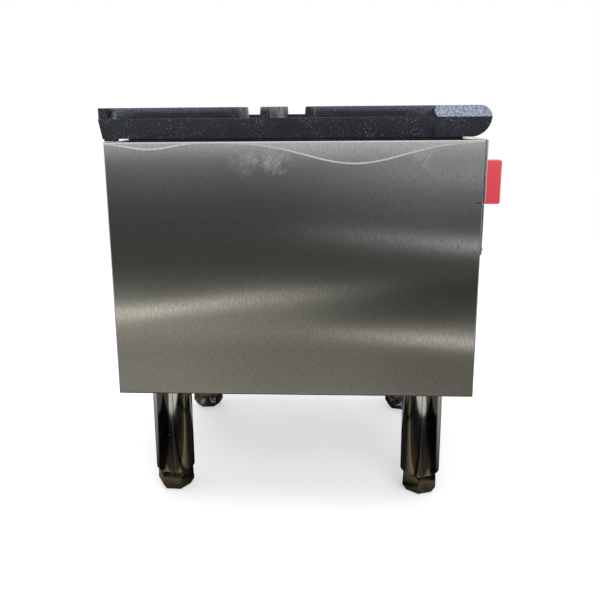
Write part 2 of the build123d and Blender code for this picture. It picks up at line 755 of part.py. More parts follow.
# The inner casting: one ring fed by the right mixing tube, which turns in under the outer rings.
inner_tube_x = post_radius
riser_x = (inner_ring[0] + inner_ring[1]) / 2
riser_radius = (inner_ring[1] - inner_ring[0]) / 2
arm_top = ring_bottom + ring_wall / 2
with BuildPart() as inner_burner:
    revolve(ring_section(inner_ring), axis=burner_axis)
    lengthwise_bar(inner_tube_x, valve_z, mouth_y + mouth_length, burner_y + tube_radius, tube_radius)
    with BuildSketch(profile_at(riser_x)):
        with Locations((burner_y, valve_z)):
            Circle(tube_radius)
    extrude(amount=inner_tube_x - riser_x)
    upright_post(riser_x, burner_y, valve_z, arm_top, riser_radius)
    with BuildSketch(Plane.XY.offset(tube_bottom)):
        with Locations((inner_tube_x, rail_pad_y)):
            Rectangle(pad_width, pad_length)
    extrude(amount=tube_radius)
    with BuildSketch(Plane.XY.offset(arm_top - bridge_height)):
        with Locations((0, burner_y + (inner_ring[0] + post_y) / 2)):
            Rectangle(bridge_width, post_y - inner_ring[0])
    extrude(amount=bridge_height - ring_wall)
    upright_post(0, burner_y + riser_x, arm_top - bridge_height, arm_top, bridge_width / 2)
    upright_post(0, burner_y + post_y, tube_bottom, arm_top - ring_wall, leg_post_radius)
    lengthwise_bar(inner_tube_x, valve_z, mouth_y + mouth_length - fit_gap, burner_y + tube_bore,
                   tube_bore, mode=Mode.SUBTRACT)
    with BuildSketch(profile_at(riser_x)):
        with Locations((burner_y, valve_z)):
            Circle(tube_bore)
    extrude(amount=inner_tube_x - riser_x, mode=Mode.SUBTRACT)
    revolve(ring_channel(inner_ring), axis=burner_axis, mode=Mode.SUBTRACT)
    with BuildSketch(Plane.XY.offset(valve_z)):
        with Locations((riser_x, burner_y)):
            Circle(riser_radius - ring_wall)
    extrude(amount=channel_bottom - valve_z, mode=Mode.SUBTRACT)
    revolve(mouth_section(inner_tube_x), axis=Axis((inner_tube_x, 0, valve_z), (0, 1, 0)))
    extrude(air_windows(inner_tube_x, mouth_y - overcut), amount=-mouth_plate - 2 * overcut,
            mode=Mode.SUBTRACT)
    extrude(port_circles(inner_ring, inner_ports), amount=-port_depth, mode=Mode.SUBTRACT)
inner_burner.part.label = "inner_burner"
export_step(inner_burner.part, "parts/inner_burner.step")

# ================================================================== air shutters
# Each is a disc with two windows like the mouth's, which turns on the mouth's hub.
tube_places = {"left": outer_tube_x, "right": inner_tube_x}
shutter_back = mouth_y - shutter_gap
for side_name, tube_x in tube_places.items():
    with BuildPart() as air_shutter:
        with BuildSketch(facing_front(shutter_back)):
            with Locations((tube_x, valve_z)):
                Circle(shutter_radius)
                Circle(hub_radius + shutter_fit, mode=Mode.SUBTRACT)
            with Locations((tube_x + shutter_radius, valve_z)):
                RectangleRounded(2 * shutter_tab, shutter_tab, shutter_tab_corner)
            add(air_windows(tube_x, shutter_back), mode=Mode.SUBTRACT)
        extrude(amount=shutter_thickness)
    air_shutter.part.label = f"air_shutter_{side_name}"
    export_step(air_shutter.part, f"parts/air_shutter_{side_name}.step")

with BuildPart() as shutter_clips:
    for tube_x in tube_places.values():
        with BuildSketch(facing_front(shutter_back - shutter_thickness - shutter_gap)):
            with Locations((tube_x, valve_z)):
                Circle(clip_radius)
                Circle(hub_radius, mode=Mode.SUBTRACT)
        extrude(amount=clip_thickness)
shutter_clips.part.label = "shutter_clips"
export_step(shutter_clips.part, "parts/shutter_clips.step")

# ================================================================== valves, orifices and knobs
boss_top = manifold_z + boss_rise
for side_name, side in sides.items():
    valve_x = side * valve_spread
    with BuildPart() as gas_valve:
        barrel = lengthwise_bar(valve_x, valve_z, valve_y, valve_end, valve_radius)
        chamfer(barrel.faces().sort_by(Axis.Y)[0].edges(), length=valve_edge)
        lengthwise_bar(valve_x, valve_z, valve_end, neck_end, valve_neck)
        upright_post(valve_x, manifold_y, boss_top, valve_z, valve_inlet_radius)
        lengthwise_bar(valve_x, valve_z, valve_y, valve_y + valve_bore_depth,
                       stem_radius + stem_fit, mode=Mode.SUBTRACT)
    gas_valve.part.label = f"gas_valve_{side_name}"
    export_step(gas_valve.part, f"parts/gas_valve_{side_name}.step")

    knob_face = front_y - control_proud - knob_reach
    knob_back = front_y - control_proud - knob_gap
    with BuildPart() as valve_stem:
        lengthwise_bar(valve_x, valve_z, knob_back - stem_in_knob,
                       valve_y + valve_bore_depth - seat_gap, stem_radius)
        with BuildSketch(facing_front(knob_back)):
            with Locations((valve_x, valve_z + stem_radius - stem_flat / 2)):
                Rectangle(2 * stem_radius, stem_flat)
        extrude(amount=stem_in_knob, mode=Mode.SUBTRACT)
    valve_stem.part.label = f"valve_stem_{side_name}"
    export_step(valve_stem.part, f"parts/valve_stem_{side_name}.step")

    with BuildPart() as orifice:
        with BuildSketch(facing_front(neck_end)):
            with Locations((valve_x, valve_z)):
                RegularPolygon(orifice_flats / 2, 6, major_radius=False)
        extrude(amount=-orifice_length)
        chamfer(orifice.faces().sort_by(Axis.Y)[-1].edges(), length=orifice_nose)
        lengthwise_bar(valve_x, valve_z, neck_end, neck_end + orifice_length, orifice_bore,
                       mode=Mode.SUBTRACT)
    orifice.part.label = f"orifice_{side_name}"
    export_step(orifice.part, f"parts/orifice_{side_name}.step")

    # a round skirt with an upright grip bar across it
    with BuildPart() as knob:
        lengthwise_bar(valve_x, valve_z, knob_back - knob_skirt, knob_back, knob_radius)
        fillet(knob.faces().sort_by(Axis.Y)[0].edges(), radius=knob_skirt_radius)
        bar_draft = (knob_reach - knob_gap) * tan(radians(knob_bar_draft))
        with BuildSketch(facing_front(knob_back), mode=Mode.PRIVATE) as disc:
            with Locations((valve_x, valve_z)):
                Circle(knob_radius)
        grip = extrude(disc.sketch, amount=knob_reach - knob_gap, mode=Mode.PRIVATE)
        with BuildSketch(Plane.XY.offset(valve_z - knob_radius), mode=Mode.PRIVATE) as bar:
            with BuildLine():
                Polyline((valve_x - knob_bar / 2, knob_back), (valve_x + knob_bar / 2, knob_back),
                         (valve_x + knob_bar / 2 - bar_draft, knob_face),
                         (valve_x - knob_bar / 2 + bar_draft, knob_face), close=True)
            make_face()
        slab = extrude(bar.sketch, amount=2 * knob_radius, mode=Mode.PRIVATE)
        add(grip & slab)
        fillet(knob.faces().sort_by(Axis.Y)[0].edges(), radius=knob_edge)
        lengthwise_bar(valve_x, valve_z, knob_back - stem_in_knob - seat_gap, knob_back,
                       stem_radius + stem_fit, mode=Mode.SUBTRACT)
        with BuildSketch(facing_front(knob_back)):
            with Locations((valve_x, valve_z + stem_radius - stem_flat / 2 + stem_fit)):
                Rectangle(2 * stem_radius, stem_flat)
        extrude(amount=stem_in_knob)
    knob.part.label = f"knob_{side_name}"
    export_step(knob.part, f"parts/knob_{side_name}.step")

# ================================================================== manifold and inlet pipe
valve_places = [side * valve_spread for side in sides.values()]
with BuildPart() as manifold_pipe:
    with BuildSketch(profile_at(-pipe_half_length)):
        with Locations((manifold_y, manifold_z)):
            Circle(pipe_radius)
    extrude(amount=2 * pipe_half_length)
    for boss_x in valve_places + [0]:
        upright_post(boss_x, manifold_y, manifold_z, boss_top, boss_radius)
    with BuildSketch(profile_at(-pipe_half_length)):
        with Locations((manifold_y, manifold_z)):
            Circle(pipe_bore)
    extrude(amount=2 * pipe_half_length, mode=Mode.SUBTRACT)
manifold_pipe.part.label = "manifold_pipe"
export_step(manifold_pipe.part, "parts/manifold_pipe.step")

with BuildPart() as manifold_cap:
    with BuildSketch(profile_at(-pipe_half_length - ring_wall)):
        with Locations((manifold_y, manifold_z)):
            Circle(socket_radius)
    extrude(amount=cap_length + ring_wall)
    chamfer(manifold_cap.faces().sort_by(Axis.X)[0].edges(), length=cap_edge)
    with BuildSketch(profile_at(-pipe_half_length)):
        with Locations((manifold_y, manifold_z)):
            Circle(pipe_radius + socket_fit)
    extrude(amount=cap_length, mode=Mode.SUBTRACT)
manifold_cap.part.label = "manifold_cap"
export_step(manifold_cap.part, "parts/manifold_cap.step")

elbow_end_y = manifold_y + elbow_bend
with BuildPart() as gas_elbow:
    with BuildLine() as elbow_path:
        CenterArc((pipe_half_length, elbow_end_y, manifold_z), elbow_bend, -90, 90)
    with BuildSketch(profile_at(pipe_half_length)):
        with Locations((manifold_y, manifold_z)):
            Circle(elbow_radius)
            Circle(pipe_bore, mode=Mode.SUBTRACT)
    sweep(path=elbow_path.line)
    with BuildSketch(profile_at(pipe_half_length)):
        with Locations((manifold_y, manifold_z)):
            Circle(socket_radius)
            Circle(pipe_radius + socket_fit, mode=Mode.SUBTRACT)
    extrude(amount=-socket_length)
    with BuildSketch(facing_front(elbow_end_y)):
        with Locations((inlet_x, manifold_z)):
            Circle(socket_radius)
            Circle(pipe_radius + socket_fit, mode=Mode.SUBTRACT)
    extrude(amount=-socket_length)
gas_elbow.part.label = "gas_elbow"
export_step(gas_elbow.part, "parts/gas_elbow.step")

# The pipe runs back under the burner to a threaded end behind the body.
inlet_end = rear_y + inlet_projection
with BuildPart() as inlet_pipe:
    with BuildSketch(lengthwise_plane(inlet_x, manifold_z)):
        with BuildLine():
            Polyline((elbow_end_y, pipe_bore), (elbow_end_y, pipe_radius),
                     (rear_y - thread_runout, pipe_radius), (rear_y, thread_radius),
                     (inlet_end, thread_radius), (inlet_end, pipe_bore), close=True)
        make_face()
    revolve(axis=Axis((inlet_x, 0, manifold_z), (0, 1, 0)))
inlet_pipe.part.label = "inlet_pipe"
export_step(inlet_pipe.part, "parts/inlet_pipe.step")

# ================================================================== baffle and manifold brackets
# An upright sheet between the valves and the burner. The burners drop into its open notches.
notch_radius = tube_radius + baffle_notch_gap
with BuildPart() as baffle:
    with BuildSketch(facing_front(baffle_y)):
        with Locations((0, (baffle_top + baffle_bottom) / 2)):
            Rectangle(2 * inner_wall, baffle_top - baffle_bottom)
    extrude(amount=-sheet)
    for side in sides.values():
        with BuildSketch(facing_front(baffle_y)):
            with Locations((side * (inner_wall - sheet / 2), (baffle_top + baffle_bottom) / 2)):
                Rectangle(sheet, baffle_top - baffle_bottom)
        extrude(amount=baffle_flange)
    with BuildSketch(facing_front(baffle_y)):
        for tube_x in tube_places.values():
            with Locations((tube_x, valve_z)):
                Circle(notch_radius)
            with Locations((tube_x, (valve_z + baffle_top) / 2)):
                Rectangle(2 * notch_radius, baffle_top - valve_z)
        with Locations((inlet_x, manifold_z)):
            Circle(pipe_radius + pipe_hole_gap)
        with Locations((0, manifold_z + pilot_rise)):
            Circle(pilot_radius + seat_gap)
    extrude(amount=-sheet, mode=Mode.SUBTRACT)
baffle.part.label = "baffle"
export_step(baffle.part, "parts/baffle.step")

# A shelf under the manifold on each side of the middle, folded down onto the baffle.
bracket_top = manifold_z - pipe_radius
bracket_places = [side * bracket_spread for side in sides.values()]
bolt_y = pipe_radius + bolt_radius
with BuildPart() as manifold_brackets:
    for bracket_x in bracket_places:
        with BuildSketch(profile_at(bracket_x)):
            with BuildLine():
                Polyline((manifold_y - bolt_y - bracket_margin, bracket_top),
                         (baffle_y, bracket_top), (baffle_y, bracket_top - bracket_foot),
                         (baffle_y - bracket_thickness, bracket_top - bracket_foot),
                         (baffle_y - bracket_thickness, bracket_top - bracket_thickness),
                         (manifold_y - bolt_y - bracket_margin, bracket_top - bracket_thickness),
                         close=True)
            make_face()
        extrude(amount=bracket_width / 2, both=True)
        with BuildSketch(Plane.XY.offset(bracket_top)):
            with Locations((bracket_x, manifold_y - bolt_y), (bracket_x, manifold_y + bolt_y)):
                Circle(bolt_radius)
        extrude(amount=-bracket_thickness, mode=Mode.SUBTRACT)
manifold_brackets.part.label = "manifold_brackets"
export_step(manifold_brackets.part, "parts/manifold_brackets.step")

bolt_bottom = bracket_top - bolt_tail
with BuildPart() as manifold_u_bolts:
    for bracket_x in bracket_places:
        with BuildLine(profile_at(bracket_x)) as bolt_path:
            Line((manifold_y - bolt_y, bolt_bottom), (manifold_y - bolt_y, manifold_z))
            ThreePointArc((manifold_y - bolt_y, manifold_z), (manifold_y, manifold_z + bolt_y),
                          (manifold_y + bolt_y, manifold_z))
            Line((manifold_y + bolt_y, manifold_z), (manifold_y + bolt_y, bolt_bottom))
        with BuildSketch(Plane.XY.offset(bolt_bottom)):
            with Locations((bracket_x, manifold_y - bolt_y)):
                Circle(bolt_radius)
        sweep(path=bolt_path.wire())
manifold_u_bolts.part.label = "manifold_u_bolts"
export_step(manifold_u_bolts.part, "parts/manifold_u_bolts.step")

with BuildPart() as u_bolt_nuts:
    for bracket_x in bracket_places:
        with BuildSketch(Plane.XY.offset(bracket_top - bracket_thickness)):
            for nut_y in (manifold_y - bolt_y, manifold_y + bolt_y):
                with Locations((bracket_x, nut_y)):
                    RegularPolygon(nut_flats / 2, 6, major_radius=False)
                    Circle(bolt_radius, mode=Mode.SUBTRACT)
        extrude(amount=-nut_height)
u_bolt_nuts.part.label = "u_bolt_nuts"
export_step(u_bolt_nuts.part, "parts/u_bolt_nuts.step")

# ================================================================== pilot
pilot_z = manifold_z + pilot_rise
pilot_half = pilot_valve_size / 2
pilot_outlet_y = manifold_y + pilot_half + pilot_spout_length
with BuildPart() as pilot_valve:
    with BuildSketch(Plane.XY.offset(boss_top)):
        with Locations((0, manifold_y)):
            RectangleRounded(pilot_valve_size, pilot_valve_size, bend)
    extrude(amount=pilot_z + pilot_half - boss_top)
    lengthwise_bar(0, pilot_z, manifold_y + pilot_half, pilot_outlet_y, pilot_outlet_radius)
    lengthwise_bar(0, pilot_z, manifold_y - pilot_half - pilot_spout_length, manifold_y - pilot_half,
                   pilot_screw_radius)
pilot_valve.part.label = "pilot_valve"
export_step(pilot_valve.part, "parts/pilot_valve.step")

pilot_tip_z = body_top - pilot_tip_length
with BuildPart() as pilot_tube:
    with BuildLine() as pilot_path:
        FilletPolyline((0, pilot_outlet_y, pilot_z), (0, pilot_y, pilot_z),
                       (0, pilot_y, pilot_tip_z), radius=pilot_bend)
    with BuildSketch(facing_front(pilot_outlet_y)):
        with Locations((0, pilot_z)):
            Circle(pilot_radius)
    sweep(path=pilot_path.wire())
pilot_tube.part.label = "pilot_tube"
export_step(pilot_tube.part, "parts/pilot_tube.step")

with BuildPart() as pilot_burner:
    upright_post(0, pilot_y, pilot_tip_z, body_top, pilot_tip_radius)
    chamfer(pilot_burner.faces().sort_by(Axis.Z)[-1].edges(), length=pilot_tip_edge)
    with BuildSketch(profile_at(0)):
        with Locations((pilot_y, body_top - pilot_tip_length / 2)):
            Rectangle(pilot_slot, pilot_slot)
    extrude(amount=pilot_tip_radius, both=True, mode=Mode.SUBTRACT)
pilot_burner.part.label = "pilot_burner"
export_step(pilot_burner.part, "parts/pilot_burner.step")

# ================================================================== drip tray and runners
tray_front = front_y + tray_front_gap
tray_rear = rear_y - tray_rear_gap
with BuildPart() as drip_tray:
    with BuildSketch(Plane.XY.offset(tray_rim_z - tray_height)):
        with Locations((0, (tray_front + tray_rear) / 2)):
            Rectangle(2 * tray_half, tray_rear - tray_front)
    extrude(amount=tray_height)
    fillet(drip_tray.faces().sort_by(Axis.Z)[0].edges(), radius=bend)
    offset(amount=-tray_sheet, openings=drip_tray.faces().sort_by(Axis.Z)[-1])
    for side in sides.values():
        with BuildSketch(Plane.XY.offset(tray_rim_z - tray_sheet)):
            with Locations((side * (tray_half + tray_rim / 2), (tray_front + tray_rear) / 2)):
                Rectangle(tray_rim, tray_rear - tray_front)
        extrude(amount=tray_sheet)
    # the front edge is folded out and down into a pull
    handle_front = tray_front - tray_handle_reach
    with BuildSketch(profile_at(-tray_handle_width / 2)):
        with BuildLine():
            Polyline((tray_front, tray_rim_z), (handle_front, tray_rim_z),
                     (handle_front, tray_rim_z - tray_handle_lip),
                     (handle_front + tray_sheet, tray_rim_z - tray_handle_lip),
                     (handle_front + tray_sheet, tray_rim_z - tray_sheet),
                     (tray_front, tray_rim_z - tray_sheet), close=True)
        make_face()
    extrude(amount=tray_handle_width)
drip_tray.part.label = "drip_tray"
export_step(drip_tray.part, "parts/drip_tray.step")

runner_top = tray_rim_z - tray_sheet - seat_gap
runner_front = front_y + sheet + corner_gap
runner_rear = rear_y - sheet - back_flange - fit_gap
for side_name, side in sides.items():
    with BuildPart() as tray_runner:
        with BuildSketch(facing_front(runner_front)):
            with BuildLine():
                Polyline((side * inner_wall, runner_top),
                         (side * (inner_wall - runner_width), runner_top),
                         (side * (inner_wall - runner_width), runner_top - runner_thickness),
                         (side * (inner_wall - runner_thickness), runner_top - runner_thickness),
                         (side * (inner_wall - runner_thickness), runner_top - runner_height),
                         (side * inner_wall, runner_top - runner_height), close=True)
            make_face()
        extrude(amount=runner_front - runner_rear)
    tray_runner.part.label = f"tray_runner_{side_name}"
    export_step(tray_runner.part, f"parts/tray_runner_{side_name}.step")
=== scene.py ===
import json
from math import cos, pi, radians, sin

import bmesh
import bpy
from mathutils import Matrix, Vector

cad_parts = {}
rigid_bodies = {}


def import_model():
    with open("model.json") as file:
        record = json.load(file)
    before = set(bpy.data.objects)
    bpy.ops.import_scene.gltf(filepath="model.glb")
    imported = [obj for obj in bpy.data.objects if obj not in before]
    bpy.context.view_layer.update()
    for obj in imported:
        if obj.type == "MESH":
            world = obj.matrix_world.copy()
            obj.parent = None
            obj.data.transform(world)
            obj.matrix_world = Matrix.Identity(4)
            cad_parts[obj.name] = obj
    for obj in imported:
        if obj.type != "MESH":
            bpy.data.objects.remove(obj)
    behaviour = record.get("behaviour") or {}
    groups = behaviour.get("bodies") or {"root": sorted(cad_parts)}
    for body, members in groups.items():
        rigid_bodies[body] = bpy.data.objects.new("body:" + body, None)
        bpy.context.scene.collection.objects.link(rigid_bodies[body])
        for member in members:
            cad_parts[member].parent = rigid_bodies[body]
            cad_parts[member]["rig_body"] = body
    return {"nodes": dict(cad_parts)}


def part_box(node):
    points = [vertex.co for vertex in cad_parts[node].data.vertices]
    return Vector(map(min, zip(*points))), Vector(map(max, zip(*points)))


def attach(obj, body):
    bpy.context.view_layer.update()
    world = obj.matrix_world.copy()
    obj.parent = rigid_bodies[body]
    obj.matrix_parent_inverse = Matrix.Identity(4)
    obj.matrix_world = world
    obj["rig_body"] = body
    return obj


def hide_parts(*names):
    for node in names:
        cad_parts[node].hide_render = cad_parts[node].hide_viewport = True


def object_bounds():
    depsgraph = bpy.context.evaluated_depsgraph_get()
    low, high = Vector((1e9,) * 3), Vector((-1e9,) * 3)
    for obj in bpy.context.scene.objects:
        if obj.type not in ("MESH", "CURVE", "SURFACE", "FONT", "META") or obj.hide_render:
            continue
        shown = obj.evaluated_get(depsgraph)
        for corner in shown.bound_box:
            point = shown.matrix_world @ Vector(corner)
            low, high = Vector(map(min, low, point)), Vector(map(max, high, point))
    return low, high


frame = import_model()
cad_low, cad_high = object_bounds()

# A stock pot range: brushed stainless body, cast iron grate, red knobs, polished legs.
# Metres, +Z up, front towards -Y. The photograph looks at the user's left side, along +X.

scene = bpy.context.scene
mm = 0.001

# ------------------------------------------------------------------ the photograph's view
image_width = 600.0                     # pixels
focal_length = 736.684                  # pixels
picture_centre = (287.36, 287.64)       # the lens axis, in pixels
camera_place = Vector((-1.17198, -0.02974, 0.55916))
camera_yaw = 0.0548                     # radians, to the left of +X
camera_pitch = 0.2412                   # downwards
camera_roll = -0.0092
sensor_width = 36.0


def make_camera():
    turn = Matrix.Rotation(camera_yaw, 3, "Z")
    right, up, forward = (turn @ Vector(axis) for axis in ((0, -1, 0), (0, 0, 1), (1, 0, 0)))
    up, forward = (cos(camera_pitch) * up + sin(camera_pitch) * forward,
                   cos(camera_pitch) * forward - sin(camera_pitch) * up)
    right, up = (cos(camera_roll) * right + sin(camera_roll) * up,
                 cos(camera_roll) * up - sin(camera_roll) * right)
    camera = bpy.data.objects.new("camera", bpy.data.cameras.new("camera"))
    scene.collection.objects.link(camera)
    axes = Matrix((right, up, -forward)).transposed().to_4x4()
    camera.matrix_world = Matrix.Translation(camera_place) @ axes
    camera.data.sensor_width = sensor_width
    camera.data.lens = focal_length / image_width * sensor_width
    camera.data.shift_x = (image_width / 2 - picture_centre[0]) / image_width
    camera.data.shift_y = (picture_centre[1] - image_width / 2) / image_width
    camera.data.clip_start = 0.01
    scene.camera = camera


# ------------------------------------------------------------------ shader helpers
class Shader:
    """A material, world or lamp shader under construction."""

    def __init__(self, owner):
        owner.use_nodes = True
        self.owner = owner
        self.tree = owner.node_tree
        self.tree.nodes.clear()

    def node(self, kind, inputs=None, **settings):
        """Adds a node. Each input takes a plain value or another node's output."""
        made = self.tree.nodes.new("ShaderNode" + kind)
        for key, value in settings.items():
            setattr(made, key, value)
        for key, value in (inputs or {}).items():
            if isinstance(value, bpy.types.NodeSocket):
                self.tree.links.new(value, made.inputs[key])
            else:
                made.inputs[key].default_value = value
        return made

    def math(self, operation, a, b=0.0):
        return self.node("Math", {0: a, 1: b}, operation=operation).outputs[0]

    def place(self, scale=(1, 1, 1), turn=(0, 0, 0)):
        """The object's own coordinates, in metres, turned and then scaled."""
        own = self.node("TexCoord").outputs["Object"]
        turned = self.node("Mapping", {"Vector": own, "Rotation": turn}).outputs[0]
        return self.node("Mapping", {"Vector": turned, "Scale": scale}).outputs[0]

    def noise(self, scale, detail=2.0, roughness=0.5, turn=(0, 0, 0)):
        """Noise from 0 to 1. The scale is in cycles per metre, one number or one for each axis."""
        each = scale if hasattr(scale, "__len__") else (scale,) * 3
        inputs = {"Vector": self.place(each, turn), "Scale": 1.0, "Detail": detail, "Roughness": roughness}
        return self.node("TexNoise", inputs).outputs["Fac"]

    def cells(self, scale, output="Distance"):
        """A value or colour for each cell of a random pattern. The scale is in cells per metre."""
        inputs = {"Vector": self.place((scale,) * 3), "Scale": 1.0}
        return self.node("TexVoronoi", inputs).outputs[output]

    def remap(self, value, low, high, to_low=0.0, to_high=1.0, smooth=False):
        inputs = {"Value": value, "From Min": low, "From Max": high, "To Min": to_low, "To Max": to_high}
        kind = "SMOOTHSTEP" if smooth else "LINEAR"
        return self.node("MapRange", inputs, interpolation_type=kind).outputs[0]

    def within(self, value, outer, inner):
        """0 at the outer limit, rising smoothly to 1 at the inner one."""
        return self.remap(value, outer, inner, smooth=True)

    def apart(self, value, place):
        """How far a value is from a place."""
        return self.math("ABSOLUTE", self.math("SUBTRACT", value, place))

    def table(self, value, stops):
        """The colour at a value, from (value, colour) stops."""
        low, high = stops[0][0], stops[-1][0]
        made = self.node("ValToRGB", {"Fac": self.remap(value, low, high)})
        elements = made.color_ramp.elements
        while len(elements) < len(stops):
            elements.new(0.5)
        for element, (at, colour) in zip(elements, stops):
            element.position = (at - low) / (high - low)
            element.color = (*colour, 1.0)
        return made.outputs["Color"]

    def scaled(self, colour, factor):
        return self.node("VectorMath", {0: colour, "Scale": factor}, operation="SCALE").outputs[0]

    def added(self, a, b):
        return self.node("VectorMath", {0: a, 1: b}, operation="ADD").outputs[0]

    def mix(self, factor, a, b):
        """Two colours mixed, each a plain one or another node's output."""
        made = self.node("Mix", {0: factor}, data_type="RGBA")
        # the node has sockets for each type of data, and these are the ones for colours
        for socket, value in ((made.inputs[6], a), (made.inputs[7], b)):
            if isinstance(value, bpy.types.NodeSocket):
                self.tree.links.new(value, socket)
            else:
                socket.default_value = (*value, 1.0)
        return made.outputs[2]

    def bump(self, height, distance, strength=1.0, normal=None):
        """The normal of a relief: the distance is what a height of 1 stands for, in metres."""
        inputs = {"Height": height, "Distance": distance, "Strength": strength}
        if normal is not None:
            inputs["Normal"] = normal
        return self.node("Bump", inputs).outputs[0]

    def emission(self, colour, strength):
        return self.node("Emission", {"Color": colour, "Strength": strength}).outputs[0]

    def finish(self, colour, roughness, normal=None, metallic=0.0, **sockets):
        """Ends a material with its surface. Each further socket is named with _ for a space."""
        inputs = {"Base Color": colour, "Roughness": roughness, "Metallic": metallic}
        if normal is not None:
            inputs["Normal"] = normal
        for key, value in sockets.items():
            inputs[key.replace("_", " ")] = value
        surface = self.node("BsdfPrincipled", inputs)
        output = self.node("OutputMaterial")
        self.tree.links.new(surface.outputs[0], output.inputs["Surface"])
        return self.owner


def shader(name):
    return Shader(bpy.data.materials.new(name))


# ------------------------------------------------------------------ materials
# Places on the left panel's outer face where it is rubbed bright: (Y, Z, radius, strength)
rubbed_spots = ((0.037, 0.4926, 0.019, 1.0), (0.074, 0.489, 0.018, 0.45), (-0.150, 0.4966, 0.022, 0.40))
rub_angle = radians(50)                 # the slope of the streaks in them
rub_ragged = 0.008                      # how far their edges wander
rub_spread = 1.15                       # and how far they reach, as a share of the radius
# Shallow creases under that panel's top fold, which dip in the middle: (middle Y, dip, half width)
creases = ((-0.065, 0.0270, 0.086), (0.198, 0.008, 0.040))
crease_top = 0.5155
crease_half = 0.0013                    # half the width of its line
crease_step = 0.000060                  # how far the sheet steps there
lean_height = 0.040                     # how far up the sheet leans back above it
lean_depth = 0.00018                    # and by how much


def creased(s, y, z, normal):
    """The normal with the creases added, each a small step with a slight lean above it."""
    for middle, dip, half_width in creases:
        across = s.math("DIVIDE", s.math("SUBTRACT", y, middle), half_width)
        sag = s.math("EXPONENT", s.math("MULTIPLY", s.math("MULTIPLY", across, across), -1.0))
        line = s.math("SUBTRACT", crease_top, s.math("MULTIPLY", sag, dip))
        above = s.math("SUBTRACT", z, line)
        step = s.remap(above, -crease_half, crease_half, crease_step, 0.0, smooth=True)
        # the step fades out to the sides, where the line runs level
        step = s.math("MULTIPLY", step, s.remap(sag, 0.05, 0.75, 0.15, 1.0))
        lean = s.remap(above, 0.0, lean_height, 0.0, -lean_depth)
        normal = s.bump(s.math("ADD", step, lean), 1.0, 1.0, normal)
    return normal


def rubbed(s, position):
    """How far a place is rubbed, from 0 to 1: ragged spots of short slanting streaks."""
    streaks = s.remap(s.noise((60, 60, 1500), 2.0, 0.6, (rub_angle, 0, 0)), 0.47, 0.62)
    ragged = s.remap(s.noise(90, 3.0, 0.6), 0.3, 0.7, -rub_ragged, rub_ragged)
    rub = 0.0
    for y, z, radius, strength in rubbed_spots:
        away = s.node("VectorMath", {0: position, 1: (cad_low.x, y, z)}, operation="DISTANCE")
        away = s.math("ADD", away.outputs["Value"], ragged)
        near = s.remap(away, radius * rub_spread, 0.0, 0.0, strength, smooth=True)
        rub = s.math("MAXIMUM", near, rub)
    return s.math("MULTIPLY", rub, streaks)


def brushed_stainless(name, photographed=False):
    """Sheet with a fine upright grain, gently out of flat, with clouded patches and a few marks.
    The photographed panel is also creased and rubbed."""
    s = shader(name)
    grain = s.noise((420, 420, 130), 3.0, 0.6)
    fine_grain = s.noise((1400, 1400, 220), 2.0, 0.65)
    clouds = s.noise(7.0, 3.0, 0.55)
    specks = s.math("MULTIPLY", s.remap(s.noise(420, 1.0), 0.79, 0.84), 0.6)
    tint = s.mix(clouds, (0.64, 0.64, 0.615), (0.58, 0.585, 0.58))
    tint = s.mix(s.remap(grain, 0.38, 0.62, 0.0, 0.9), tint, (0.49, 0.49, 0.48))
    tint = s.mix(s.remap(fine_grain, 0.35, 0.7, 0.0, 0.5), tint, (0.80, 0.80, 0.78))
    rough = s.math("ADD", s.remap(clouds, 0.3, 0.7, 0.125, 0.150), s.remap(grain, 0.3, 0.7, -0.01, 0.02))
    normal = s.bump(s.noise(5.2, 1.0, 0.4), 0.0004 if photographed else 0.0012)
    normal = s.bump(fine_grain, 0.000006, 0.6, normal)
    if photographed:
        position = s.node("TexCoord").outputs["Object"]
        y, z = s.node("SeparateXYZ", {0: position}).outputs[1:3]
        normal = creased(s, y, z, normal)
        rub = rubbed(s, position)
        specks = s.math("MAXIMUM", rub, specks)
        rough = s.math("ADD", rough, s.math("MULTIPLY", rub, 0.55))
    tint = s.mix(specks, tint, (0.90, 0.92, 0.97))
    around = s.node("Tangent", direction_type="RADIAL", axis="Z").outputs[0]
    return s.finish(tint, rough, normal, 1.0, Anisotropic=0.92, Tangent=around)


def galvanised(name):
    """Zinc coated sheet, with dull spangles."""
    s = shader(name)
    spangle = s.node("SeparateColor", {0: s.cells(150, "Color")}).outputs[0]
    soft = s.noise(40, 3.0)
    stain = s.noise(9, 4.0, 0.6)
    tint = s.mix(s.remap(spangle, 0, 1, 0.2, 0.6), (0.42, 0.435, 0.45), (0.60, 0.615, 0.62))
    tint = s.mix(s.remap(stain, 0.52, 0.75, 0.0, 0.5), tint, (0.40, 0.39, 0.36))
    rough = s.math("ADD", s.remap(spangle, 0, 1, 0.30, 0.46), s.remap(soft, 0.3, 0.7, -0.04, 0.06))
    normal = s.bump(soft, 0.0002, 0.3)
    normal = s.bump(s.noise(900, 2.0), 0.00002, 0.5, normal)
    return s.finish(tint, rough, normal, 1.0)


burner_axis = (0.0, 0.04835, 0.0)
scorch_edge = (0.0875, 0.056)           # from its axis to no scorching, and to all of it


